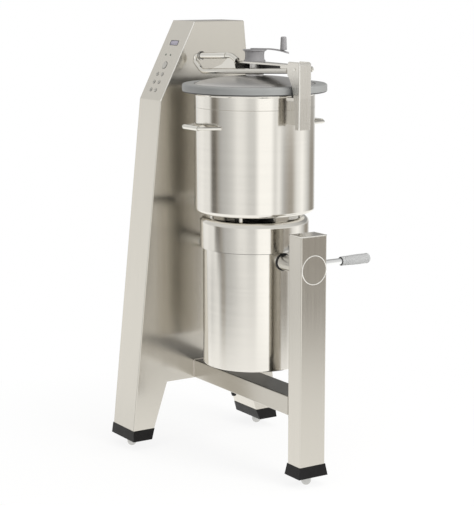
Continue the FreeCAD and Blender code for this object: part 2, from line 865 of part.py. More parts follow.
def make_feet():
    half = "tube_depth / 2"
    spots = [("front", "column_mid", "-glide_y"), ("rear", "column_mid", "glide_y"), ("post", "post_mid", "0")]
    blocks = [
        make_boot("boot_front", "column_out", "column_in", "-boot_outer", "-boot_inner",
                  "-foot_reach - boot_lip", "-foot_inner + boot_lip"),
        make_boot("boot_rear", "column_out", "column_in", "boot_inner", "boot_outer",
                  "foot_inner - boot_lip", "foot_reach + boot_lip"),
        make_boot("boot_post", "post_in", "post_out", "-(%s + boot_flare)" % half, "%s + boot_flare" % half,
                  "-(%s + boot_lip)" % half, "%s + boot_lip" % half)]
    boots = []
    glides = []
    for block, (name, x, y) in zip(blocks, spots):
        bore = cylinder("boot_bore_" + name, "stem_radius + stem_fit", "boot_height + 2", (x, y, "boot_base - 1"))
        boots.append(cut("boot_" + name + "_bored", block, [bore]))
        glides.append(turned("glide_" + name, [
            ("0", "0"), ("glide_sole", "0"), ("glide_radius", "glide_radius * 0.9", "glide_radius"),
            ("glide_radius", "boot_base"), ("stem_radius", "boot_base"),
            ("stem_radius", "foot_level + stem_rise"), ("0", "foot_level + stem_rise")], (x, y, "0")))
    return [group("foot_boots", boots), group("foot_glides", glides)]


# Trunnions, their bearings and the tilt lock

def lathe_x(name, points):
    """Turn an outline of (radius, X) points about the trunnion axis."""
    return turned(name, points, ("0", "0", "trunnion_level"), ALONG_X)


def make_trunnions():
    skin = "column_in - column_skin"
    bearing = lathe_x("column_bearing", [
        ("journal_radius + running_fit", skin + " - bearing_length"),
        ("journal_radius + running_fit", "column_in"),
        ("bearing_spigot - spigot_fit", "column_in"),
        ("bearing_spigot - spigot_fit", skin),
        ("bearing_flange", skin),
        ("bearing_flange", skin + " - bearing_flange_thick"),
        ("bearing_radius", skin + " - bearing_flange_thick"),
        ("bearing_radius", skin + " - bearing_length")])
    bushing = lathe_x("post_bushing", [
        ("journal_radius + running_fit", "post_in"),
        ("bearing_spigot - spigot_fit", "post_in"),
        ("bearing_spigot - spigot_fit", "post_wall_in"),
        ("bushing_flange", "post_wall_in"),
        ("bushing_flange", "post_wall_in + bushing_flange_thick"),
        ("bearing_spigot", "post_wall_in + bushing_flange_thick"),
        ("bearing_spigot", "post_in + bushing_length"),
        ("journal_radius + running_fit", "post_in + bushing_length")])
    cap = lathe_x("bearing_cap", [
        ("journal_radius + running_fit", "post_out - cap_boss_length - tube_wall"),
        ("cap_boss", "post_out - cap_boss_length - tube_wall"),
        ("cap_boss", "post_wall_out"),
        ("cap_radius", "post_wall_out"),
        ("cap_radius", "post_out"),
        ("cap_radius - cap_rise", "post_out + cap_rise"),
        ("0", "post_out + cap_rise"),
        ("0", "post_wall_out"),
        ("journal_radius + running_fit", "post_wall_out")])
    left = lathe_x("trunnion_left_blank", [
        ("cable_bore", skin + " - journal_left"),
        ("journal_radius", skin + " - journal_left"),
        ("journal_radius", "column_in + trunnion_gap"),
        ("trunnion_radius", "column_in + trunnion_gap"),
        ("trunnion_radius", "axis_x - motor_radius * 0.9"),
        ("cable_bore", "axis_x - motor_radius * 0.9")])
    right = lathe_x("trunnion_right_blank", [
        ("0", "axis_x + motor_radius * 0.9"),
        ("trunnion_radius", "axis_x + motor_radius * 0.9"),
        ("trunnion_radius", "post_in - trunnion_gap"),
        ("journal_radius", "post_in - trunnion_gap"),
        ("journal_radius", "post_in + bushing_length + trunnion_gap"),
        ("trunnion_radius", "post_in + bushing_length + trunnion_gap"),
        ("trunnion_radius", "post_out - cap_boss_length - tube_wall - trunnion_gap"),
        ("journal_radius", "post_out - cap_boss_length - tube_wall - trunnion_gap"),
        ("journal_radius", "post_wall_out - trunnion_gap"),
        ("0", "post_wall_out - trunnion_gap")])
    saddles = [cylinder("saddle_" + side, "motor_radius", "200", ("axis_x", "0", "trunnion_level - 100"))
               for side in ("left", "right")]
    return [bearing, bushing, cap, cut("trunnion_left", left, saddles[:1]), cut("trunnion_right", right, saddles[1:])]


def lathe_y(name, points):
    """Turn an outline of (radius, Y) points about the lock rod's axis."""
    return turned(name, points, ("post_mid", "0", "lock_level"), ALONG_Y)


def make_lock():
    """A brake pad on a rod that a spring holds against the trunnion; the grip pulls it back."""
    wall = "post_back - tube_wall"
    bushing = lathe_y("lock_bushing", [
        ("lock_rod_radius + running_fit", wall),
        ("lock_bushing_radius - spigot_fit", wall),
        ("lock_bushing_radius - spigot_fit", "post_back"),
        ("lock_bushing_flange", "post_back"),
        ("lock_bushing_flange", "post_back + lock_bushing_rise * 0.4"),
        ("lock_bushing_radius", "post_back + lock_bushing_rise"),
        ("lock_rod_radius + running_fit", "post_back + lock_bushing_rise")])
    rod = cylinder("lock_bar", "lock_rod_radius", "lock_rod_end - pad_face - lock_pad_thick",
                   ("post_mid", "pad_face + lock_pad_thick", "lock_level"), ALONG_Y)
    pad_block = box("lock_pad", "lock_pad_width", "lock_pad_thick", "lock_pad_height",
                    ("post_mid - lock_pad_width / 2", "pad_face", "lock_level - lock_pad_height / 2 - 1"))
    grip = lathe_y("lock_grip", [
        ("lock_rod_radius", "lock_grip_start + 6"),
        ("lock_grip_radius - 3", "lock_grip_start + 6"),
        ("lock_grip_radius - 3", "lock_grip_start"),
        ("lock_grip_radius - 1.2", "lock_grip_start + 1"),
        ("lock_grip_radius - 1", "lock_grip_start + 12"),
        ("lock_grip_radius - 1.7", "lock_grip_start + 13"),
        ("lock_grip_radius - 1", "lock_grip_start + 14"),
        ("lock_grip_radius - 0.9", "lock_grip_start + 20"),
        ("lock_grip_radius - 1.6", "lock_grip_start + 21"),
        ("lock_grip_radius - 0.9", "lock_grip_start + 22"),
        ("lock_grip_radius", "lock_grip_end - 12", "900"),
        ("lock_grip_radius - 7", "lock_grip_end", "9"),
        ("0", "lock_grip_end"),
        ("0", "lock_rod_end"),
        ("lock_rod_radius", "lock_rod_end")])
    place("spring_start", "pad_face + lock_pad_thick + 0.2")
    place("spring_pitch", "(post_back - tube_wall - 0.2 - spring_start - spring_thick) / 6")
    chain = [("spring_outer" if step % 2 else "spring_inner", "spring_start + %d * spring_pitch" % step)
             for step in range(7)]
    spring = lathe_y("lock_spring", chain + [(out, up + " + spring_thick") for out, up in reversed(chain)])
    return [bushing, fuse("lock_rod", [rod, pad_block]), grip, spring]


# Motor: a round housing with its end shields, stator, rotor and shaft

def make_motor():
    inner = "motor_radius - motor_wall"
    seat = inner + " - seat_fit"
    shaft_bore = "motor_shaft_radius + running_fit"
    housing = turned("motor_housing", [
        ("%s - motor_lip" % inner, "motor_bottom"),
        (inner, "motor_bottom"),
        ("motor_radius", "motor_bottom + motor_wall", "motor_wall"),
        ("motor_radius", "ring_bottom"),
        (inner, "ring_bottom"),
        (inner, "motor_bottom + motor_wall"),
        ("%s - motor_lip" % inner, "motor_bottom + motor_wall")])
    top = turned("motor_top_ring", [
        ("ring_radius", "ring_bottom + shadow_gap"),
        ("ring_radius", "ring_top - ring_round"),
        ("ring_radius - ring_round", "ring_top", "ring_round"),
        ("upper_bearing_radius * 0.7", "ring_top"),
        ("upper_bearing_radius * 0.7", "ring_top - 8"),
        ("upper_bearing_radius + seat_fit", "ring_top - 8"),
        ("upper_bearing_radius + seat_fit", "ring_top - 8 - bearing_height - seat_fit"),
        ("upper_bearing_radius * 0.8", "ring_top - 8 - bearing_height - seat_fit"),
        ("upper_bearing_radius * 0.8", "ring_top - 16 - bearing_height"),
        ("upper_bearing_radius + 12", "ring_top - 16 - bearing_height"),
        ("upper_bearing_radius + 20", "ring_top - ring_plate"),
        ("ring_inner - 20", "ring_top - ring_plate"),
        ("ring_inner", "ring_top - ring_plate - 20", "-20"),
        ("ring_inner", "ring_bottom - ring_spigot"),
        (seat, "ring_bottom - ring_spigot"),
        (seat, "ring_bottom + shadow_gap")])
    shield = turned("bottom_shield_blank", [
        ("motor_shaft_radius + 3", "shield_level"),
        ("lower_bearing_radius + 12", "shield_level"),
        ("lower_bearing_radius + 12", "motor_bottom + motor_wall"),
        (seat, "motor_bottom + motor_wall"),
        (seat, "motor_bottom + motor_wall + shield_thick"),
        ("lower_bearing_radius + 12", "motor_bottom + motor_wall + shield_thick + 8"),
        ("lower_bearing_radius + 9", "shield_level + 8 + bearing_height"),
        ("lower_bearing_radius + seat_fit", "shield_level + 8 + bearing_height"),
        ("lower_bearing_radius + seat_fit", "shield_level + 8"),
        ("motor_shaft_radius + 3", "shield_level + 8")])
    slots = []
    for number in range(10):
        slot = Part.makeBox(46, 9, 60, Vector(value("motor_radius") - 82, -4.5, value("motor_bottom") - 10))
        slot.rotate(Vector(), Vector(0, 0, 1), 18 + 36 * number)
        slot.translate(Vector(value("axis_x"), 0, 0))
        slots.append(fixed("vent_%d" % number, slot))
    gland = turned("gland_blank", [
        ("gland_radius * 0.45", "motor_bottom - gland_drop"),
        ("gland_radius * 0.8", "motor_bottom - gland_drop"),
        ("gland_radius", "motor_bottom - gland_drop * 0.5"),
        ("gland_radius", "motor_bottom + motor_wall"),
        ("gland_radius * 0.45", "motor_bottom + motor_wall")], ("axis_x + gland_offset", "-10", "0"))
    vented = cut("bottom_shield_vented", shield, slots)
    bottom = fuse("motor_bottom_cover", [vented, gland])

    def race(name, outer, low):
        return turned(name, [(shaft_bore, low), (outer, low), (outer, low + " + bearing_height"),
                             (shaft_bore, low + " + bearing_height")])
    bearings = group("motor_bearings", [
        race("upper_race", "upper_bearing_radius", "ring_top - 8 - bearing_height"),
        race("lower_race", "lower_bearing_radius", "shield_level + 8")])
    stator = turned("stator", [
        ("stator_bore", "stator_bottom"), (seat, "stator_bottom"),
        (seat, "stator_bottom + stator_height"), ("stator_bore", "stator_bottom + stator_height")])

    def winding(name, low):
        return turned(name, [
            ("winding_inner", low), ("winding_outer", low),
            ("winding_outer", low + " + winding_height"), ("winding_inner", low + " + winding_height")])
    windings = group("stator_windings", [
        winding("winding_low", "stator_bottom - winding_height"),
        winding("winding_high", "stator_bottom + stator_height")])
    rotor = turned("rotor", [
        (shaft_bore, "stator_bottom"), ("stator_bore - air_gap", "stator_bottom"),
        ("stator_bore - air_gap", "stator_bottom + stator_height"), (shaft_bore, "stator_bottom + stator_height")])
    shaft = turned("motor_shaft", [
        ("0", "shield_level + 4"), ("motor_shaft_radius - 2", "shield_level + 4"),
        ("motor_shaft_radius", "shield_level + 6"), ("motor_shaft_radius", "shaft_top - 3"),
        ("motor_shaft_radius - 3", "shaft_top"), ("0", "shaft_top")])
    collar = turned("drive_collar", [
        ("collar_bore", "ring_top"), ("collar_radius", "ring_top"), ("collar_radius", "bowl_bottom - 12"),
        ("collar_radius - 5", "bowl_bottom - 9"), ("collar_radius - 5", "bowl_bottom"), ("collar_bore", "bowl_bottom")])
    return [housing, top, bottom, bearings, stator, windings, rotor, shaft, collar]


# Bowl, its locating pins and lugs, and its two lifting handles

def make_bowl():
    bowl = turned("bowl_shell", [
        ("chimney_radius - chimney_wall", "bowl_bottom"),
        ("bowl_radius - bowl_corner", "bowl_bottom"),
        ("bowl_radius", "bowl_bottom + bowl_corner", "bowl_corner"),
        ("bowl_radius", "groove_level"),
        ("bowl_radius - groove_depth", "groove_level + groove_depth"),
        ("bowl_radius", "groove_level + 2 * groove_depth"),
        ("bowl_radius", "bowl_top - bead_height"),
        ("bowl_radius + bowl_bead", "bowl_top - bead_height + bowl_bead"),
        ("bowl_radius + bowl_bead", "bowl_top - 1.5"),
        ("bowl_radius + bowl_bead - 1.5", "bowl_top", "1.5"),
        ("bowl_inner", "bowl_top"),
        ("bowl_inner", "bowl_bottom + bowl_corner"),
        ("bowl_inner - bowl_corner + bowl_floor", "bowl_bottom + bowl_floor", "-(bowl_corner - bowl_floor)"),
        ("chimney_radius + 6", "bowl_bottom + bowl_floor"),
        ("chimney_radius", "bowl_bottom + bowl_floor + 6", "-6"),
        ("chimney_radius", "chimney_top"),
        ("chimney_radius - chimney_wall", "chimney_top")])
    locators = []
    for number, angle in enumerate((-1, 1, -2, 2)):
        turn = "(%d * pin_angle)" % angle
        locators.append(cylinder("bowl_pin_%d" % number, "pin_radius", "bowl_bottom - ring_top", (
            "axis_x + pin_ring * cos(%s)" % turn, "pin_ring * sin(%s)" % turn, "ring_top")))
    for side, start in (("right", "axis_x + lug_ring"), ("left", "axis_x - lug_ring - lug_thick")):
        locators.append(box("bowl_lug_" + side, "lug_thick", "lug_width", "bowl_bottom - ring_top",
                            (start, "-lug_width / 2", "ring_top")))
    return [bowl, group("bowl_locators", locators)]


def make_handles():
    """Bent rods with a sleeve, cut to sit on the bowl's wall."""
    pieces = []
    for side, sign in (("front", -1), ("rear", 1)):
        x = value("axis_x")
        level = value("handle_level")
        reach = sign * value("handle_reach")
        half = value("handle_half")
        foot = value("handle_foot")
        wall = sign * math.sqrt(value("bowl_radius") ** 2 - foot ** 2)
        inside = wall - sign * 12
        lean_in = foot + (foot - half) * 12 / abs(reach - wall)
        points = [Vector(x - lean_in, inside, level), Vector(x - half, reach, level),
                  Vector(x + half, reach, level), Vector(x + lean_in, inside, level)]
        bend = value("handle_bend")
        rod = fixed("handle_rod_" + side, bent_rod(points, [bend, bend], value("handle_rod")))
        wall_tool = cylinder("handle_wall_" + side, "bowl_radius", "60", ("axis_x", "0", "handle_level - 30"))
        pieces.append(cut("handle_" + side, rod, [wall_tool]))
        pieces.append(turned("sleeve_" + side, [
            ("handle_rod + sleeve_fit", "-sleeve_half"), ("handle_sleeve - 1", "-sleeve_half"),
            ("handle_sleeve", "-sleeve_half + 1"), ("handle_sleeve", "sleeve_half - 1"),
            ("handle_sleeve - 1", "sleeve_half"), ("handle_rod + sleeve_fit", "sleeve_half")],
            ("axis_x", "%d * handle_reach" % sign, "handle_level"), ALONG_X))
    return [group("bowl_handles", pieces)]


# Cutter: a hub over the bowl's chimney with three curved blades

def make_blade(name, level, reach, turn):
    """Two sickle arms on a ring, ground to an edge on the side that cuts."""
    body = new_body(name)
    ring = new_sketch(body, name + "_ring", "XY_Plane")
    circle(ring, "0", "0", "blade_ring")
    circle(ring, "0", "0", "hub_radius + running_fit")
    pad(body, ring, "blade_thick", name + "_hub")

    def arm(label, offset, grind):
        sketch = new_sketch(body, name + label, "XY_Plane", offset)
        return outline(sketch, [
            ("48", "-24 + %s" % grind),
            ("%s * 0.72" % reach, "-%s * 0.30 + %s" % (reach, grind), reach + " * 0.9"),
            ("%s * 0.94" % reach, "%s * 0.10 + %s" % (reach, grind), reach + " * 0.5"),
            ("%s * 0.90" % reach, "%s * 0.30" % reach, reach + " * 0.4"),
            ("%s * 0.62" % reach, "-%s * 0.02" % reach, "-%s * 0.42" % reach),
            ("44", "22", "-%s * 0.5" % reach)])
    low = arm("_edge", "0", "0")
    high = arm("_face", "blade_thick", "blade_grind")
    loft = body.newObject("PartDesign::AdditiveLoft", name + "_arm")
    loft.Profile = low
    loft.Sections = [high]
    loft.Ruled = True
    doc.recompute()
    pattern = body.newObject("PartDesign::PolarPattern", name + "_pair")
    pattern.Originals = [loft]
    pattern.Axis = (ring, ["N_Axis"])
    pattern.Angle = 360
    pattern.Occurrences = 2
    body.Tip = pattern
    stand(body, ("axis_x", "0", level))
    return lean(body, (0, 0, 1), turn)


def make_cutter():
    hub = turned("blade_hub", [
        ("hub_inner", "hub_bottom"), ("hub_radius", "hub_bottom"),
        ("hub_radius", "hub_top - 10"), ("hub_radius - 10", "hub_top", "10"),
        ("knob_radius * 0.7", "hub_top"), ("knob_radius", "hub_top + knob_rise * 0.35", "9"),
        ("knob_radius", "hub_top + knob_rise - 5"), ("knob_radius - 5", "hub_top + knob_rise", "5"),
        ("0", "hub_top + knob_rise"), ("0", "shaft_top + 1"),
        ("motor_shaft_radius + running_fit", "shaft_top + 1"), ("motor_shaft_radius + running_fit", "hub_seat"),
        ("hub_inner", "hub_seat")])
    return [hub,
            make_blade("blade_lower", "lower_blade_level", "lower_blade_reach", "0"),
            make_blade("blade_middle", "middle_blade_level", "middle_blade_reach", "middle_blade_turn"),
            make_blade("blade_upper", "upper_blade_level", "upper_blade_reach", "upper_blade_turn")]


# Lid bracket: a channel open to the bowl, with the hinge pin through its cheeks

def make_bracket():
    body = new_body("bracket_channel")
    side = outline(new_sketch(body, "bracket_side", "XZ_Plane", "-bracket_half"), [
        ("bracket_out - 20", "bracket_bottom"),
        ("bracket_out - 2", "bracket_bottom"),
        ("bracket_out", "bracket_bottom + 94"),
        ("bracket_out", "hinge_level + bracket_rise - 10"),
        ("bracket_out - 10", "hinge_level + bracket_rise", "10"),
        ("hinge_x - sqrt(cheek_radius^2 - bracket_rise^2)", "hinge_level + bracket_rise"),
        ("hinge_x - cheek_radius", "hinge_level", "cheek_radius"),
        ("hinge_x - cheek_radius * 0.68", "hinge_level - cheek_radius * sqrt(1 - 0.68^2)", "cheek_radius"),
        ("bracket_out - 39", "buffer_high"),
        ("bracket_out - 30", "buffer_low + 4"),
        ("bracket_out - 22", "bracket_bottom + 33")])
    blank = pad(body, side, "2 * bracket_half", "bracket_block")
    x_out = value("bracket_out")
    half = value("bracket_half")
    back = edges_where(blank, lambda a, b: min(a.x, b.x) > x_out - 2.5 and abs(a.y - b.y) < 0.01 and abs(abs(a.y) - half) < 0.01)
    folded = dress(body, "Fillet", blank, back, "bracket_fold", Radius="4")
    sketch = outline(new_sketch(body, "bracket_inside", "XZ_Plane", "-cheek_face"), [
        ("hinge_x - 80", "bracket_bottom - 20"), ("web_face", "bracket_bottom - 20"),
        ("web_face", "hinge_level + 60"), ("hinge_x - 80", "hinge_level + 60")])
    channel = body.newObject("PartDesign::Pocket", "bracket_channel_cut")
    channel.Profile = sketch
    channel.setExpression("Length", formula("2 * cheek_face"))
    channel.Reversed = True
    doc.recompute()
    if channel.Shape.Volume > folded.Shape.Volume * 0.9:
        raise RuntimeError("the bracket's channel was not cut")
    pin_hole = cylinder("bracket_pin_hole", "hinge_pin_radius + spigot_fit", "80", ("hinge_x", "-40", "hinge_level"), ALONG_Y)
    bracket = cut("lid_bracket", body, [pin_hole])
    pin = turned("hinge_pin", [
        ("0", "-hinge_pin_front"), ("hinge_pin_radius - 1", "-hinge_pin_front"),
        ("hinge_pin_radius", "-hinge_pin_front + 1"), ("hinge_pin_radius", "hinge_pin_rear - hinge_head_length"),
        ("hinge_head", "hinge_pin_rear - hinge_head_length"), ("hinge_head", "hinge_pin_rear - 1"),
        ("hinge_head - 1", "hinge_pin_rear"), ("0", "hinge_pin_rear")],
        ("hinge_x", "0", "hinge_level"), ALONG_Y)
    buffer = box("bracket_buffer", "web_face - hinge_x + buffer_face - buffer_back", "2 * cheek_face - 2 * spigot_fit",
                 "buffer_high - buffer_low", ("hinge_x - buffer_face", "-cheek_face + spigot_fit", "buffer_low"))
    mount_block = box("lid_mount_block", "web_face - mount_fit - axis_x", "cheek_face - mount_fit - mount_side",
                      "mount_high - mount_low", ("axis_x", "mount_side", "mount_low"))
    wall = cylinder("mount_wall", "bowl_radius", "300", ("axis_x", "0", "mount_low - 100"))
    mount = cut("lid_mount", mount_block, [wall])
    return [bracket, pin, buffer, mount]


# Lid frame: a knuckle, two arms, a bridge over the middle and the loop handle with its grip

def arm_point(out, side):
    """A point of an arm's middle line, a distance along X from the knuckle's face."""
    y = value("arm_start_side") + value("arm_spread") * out
    return Vector(value("knuckle_face") - out, side * y, value("arm_start_level") - value("arm_fall") * out)


def make_lid_frame():
    body = new_body("knuckle_blank")
    half = "(cheek_face - knuckle_side_gap)"
    profile = outline(new_sketch(body, "knuckle_outline", "XZ_Plane", "-" + half), [
        ("knuckle_face", "hinge_level - knuckle_radius"),
        ("hinge_x", "hinge_level - knuckle_radius"),
        ("hinge_x + knuckle_radius", "hinge_level", "knuckle_radius"),
        ("hinge_x + sqrt(knuckle_radius^2 - knuckle_top^2)", "hinge_level + knuckle_top", "knuckle_radius"),
        ("knuckle_face", "hinge_level + knuckle_top")])
    blank = pad(body, profile, "2 * " + half, "knuckle_block")
    top = value("hinge_level + knuckle_top")
    crown = edges_where(blank, lambda a, b: min(a.z, b.z) > top - 0.01 and abs(a.y - b.y) < 0.01)
    dress(body, "Fillet", blank, crown, "knuckle_crown", Radius="5")
    bore = cylinder("knuckle_bore", "hinge_pin_radius + running_fit", "80", ("hinge_x", "-40", "hinge_level"), ALONG_Y)
    knuckle = cut("knuckle", body, [bore])

    radius = value("arm_radius")
    rear_end = value("knuckle_face - axis_x + rear_arm_end")
    past = Part.makeBox(100, 200, 200, Vector(value("knuckle_face"), -100, value("hinge_level") - 100))
    rear = fixed("arm_rear", bent_rod([arm_point(-4, 1), arm_point(rear_end, 1)], [], radius).cut(past))

    def on_arm(out, level):
        spot = arm_point(value(out), -1)
        return Vector(spot.x, spot.y, value(level))
    grip_start = on_arm("grip_far", "grip_far_level")
    grip_end = on_arm("grip_near", "grip_near_level")
    along = (grip_end - grip_start).normalize()
    loop = [arm_point(-4, -1), arm_point(value("loop_heel"), -1), grip_start - along * value("loop_head_run"),
            grip_end + along * value("loop_bow_run"), on_arm("loop_foot", "loop_foot_level")]
    front = bent_rod(loop, [value("loop_heel_bend"), value("loop_head_bend"), value("loop_bow_bend")], radius).cut(past)
    run = arm_point(0, -1) - arm_point(100, -1)
    across = run.cross(Vector(0, 0, 1)).normalize() * value("gusset_thick")
    web = [on_arm("gusset_far", "hinge_level - 21"), on_arm("gusset_knee", "gusset_knee_level"),
           on_arm("gusset_waist", "gusset_waist_level"), on_arm("grip_near + 3", "grip_near_level - 14.5"),
           on_arm("grip_near - 2", "grip_near_level - 12"), on_arm("grip_near - 2", "grip_near_level - 4"),
           on_arm("gusset_near + 4", "grip_near_level - 8"), on_arm("gusset_near", "gusset_waist_level + 2"),
           on_arm("gusset_near - 6", "hinge_level - 14")]
    plate = Part.Face(Part.makePolygon(web + web[:1])).extrude(across)
    plate.translate(across * -0.5)
    gusset = plate.cut(front)
    if len(gusset.Solids) != 1:
        raise RuntimeError("the gusset is not one plate")
    front_arm = group("lid_arm_front", [fixed("arm_loop", front), fixed("arm_gusset", gusset.Solids[0])])

    top_body = new_body("bridge_plate")
    pad(top_body, outline(new_sketch(top_body, "bridge_outline", "XY_Plane", "bridge_low"), [
        ("axis_x - bridge_left", "-bridge_left_half"), ("knuckle_face", "-bridge_right_half"),
        ("knuckle_face", "bridge_right_half"), ("axis_x - bridge_left", "bridge_left_half")]),
        "bridge_thick", "bridge_sheet")
    leg = box("bridge_leg_blank", "bridge_leg", "2 * bridge_left_half + 16", "bridge_low - hinge_level + 24 + bridge_thick",
              ("axis_x - bridge_left", "-bridge_left_half - 8", "hinge_level - 24"))
    block = box("bridge_block_blank", "bridge_block", "2 * bridge_right_half", "14",
                ("knuckle_face - bridge_block", "-bridge_right_half", "bridge_low - 14"))
    flange_body = new_body("bridge_side")
    pad(flange_body, outline(new_sketch(flange_body, "bridge_side_outline", "XY_Plane", "hinge_level - 14"), [
        ("axis_x - bridge_left", "bridge_left_half - bridge_flange"), ("knuckle_face", "bridge_right_half - bridge_flange"),
        ("knuckle_face", "bridge_right_half"), ("axis_x - bridge_left", "bridge_left_half")]),
        "bridge_low - hinge_level + 14", "bridge_side_sheet")
    flange_end = box("bridge_side_end", "bridge_block", "4 * bridge_right_half", "bridge_low - hinge_level + 28",
                     ("knuckle_face - bridge_block", "-2 * bridge_right_half", "hinge_level - 28"))
    flange = cut("bridge_flange_sheet", flange_body, [flange_end])
    bar = fuse("bridge_blank", [top_body, flange, leg, block])
    shaft_hole = cylinder("bridge_hole", "wiper_shaft_radius + 0.5", "60", ("axis_x", "0", "bridge_low - 30"))
    bridge = cut("bridge", bar, [front_arm, rear, shaft_hole])
    frame = group("lid_frame", [knuckle, rear, bridge])

    length = (grip_end - grip_start).Length
    ring = Part.makeCylinder(value("grip_ring"), value("grip_ring_length"))
    sleeve = Part.makeCylinder(value("grip_radius"), length).fuse(ring)
    recess = Part.makeCylinder(value("grip_ring") - 1.5, value("grip_ring_length") - 1.5)
    hole = Part.makeCylinder(value("arm_radius + grip_fit"), length)
    tube = sleeve.cut(hole.fuse(recess)).removeSplitter()
    tube.Placement = Placement(grip_start, Rotation(Vector(0, 0, 1), grip_end - grip_start))
    return [frame, front_arm, fixed("handle_grip", tube)]


# Lid: a steel dome in a rubber rim, carried by the boss under the bridge

def make_lid():
    under = "dome_top - dome_skin"
    dome = turned("lid_dome", [
        ("dome_hole", "dome_top"),
        ("dome_shoulder", "dome_top - dome_shoulder_drop", "-dome_crown_radius"),
        ("dome_edge", "dome_top - dome_edge_drop", "-dome_edge_radius"),
        ("dome_flange", "dome_top - dome_flange_drop"),
        ("dome_flange", under + " - dome_flange_drop"),
        ("dome_edge", under + " - dome_edge_drop"),
        ("dome_shoulder", under + " - dome_shoulder_drop", "dome_edge_radius"),
        ("dome_hole", under, "dome_crown_radius")])
    edge = "dome_top - dome_edge_drop"
    flange = "dome_top - dome_flange_drop"
    rim = turned("lid_rim", [
        ("dome_edge + 1", "rim_top - 0.5"),
        ("dome_edge + 4", "rim_top"),
        ("rim_radius - rim_top_round", "rim_top"),
        ("rim_radius", "rim_top - rim_top_round", "-rim_top_round"),
        ("rim_radius", "rim_bottom + rim_bottom_round"),
        ("rim_radius - rim_bottom_round", "rim_bottom", "-rim_bottom_round"),
        ("rim_step", "rim_bottom"),
        ("rim_step", "bowl_top + rim_seal_gap"),
        ("rim_plug", "bowl_top + rim_seal_gap"),
        ("rim_plug", "rim_plug_bottom + 2"),
        ("rim_plug - 2", "rim_plug_bottom"),
        ("rim_plug_inner", "rim_plug_bottom"),
        ("rim_plug_inner", "rim_plug_bottom + 17"),
        ("dome_edge - 1", edge + " - dome_skin - rim_fit"),
        ("dome_edge", edge + " - dome_skin - rim_fit"),
        ("dome_flange + rim_fit", flange + " - dome_skin - rim_fit"),
        ("dome_flange + rim_fit", flange + " + rim_fit"),
        ("dome_edge + 1", edge + " + rim_fit")])
    boss = turned("lid_boss", [
        ("wiper_shaft_radius + running_fit", under + " - 5"),
        ("dome_hole - spigot_fit", under + " - 5"),
        ("dome_hole - spigot_fit", "dome_top + spigot_fit"),
        ("boss_flange", "dome_top + spigot_fit"),
        ("boss_flange", "dome_top + boss_flange_rise - 1"),
        ("boss_flange - 1", "dome_top + boss_flange_rise"),
        ("boss_radius + 4", "dome_top + boss_flange_rise"),
        ("boss_radius", "dome_top + boss_flange_rise + 4", "-4"),
        ("boss_radius", "bridge_low"),
        ("wiper_shaft_radius + running_fit", "bridge_low")])
    return [dome, rim, boss]


# Wiper: crank, hub and shaft through the lid, with the scraper under it

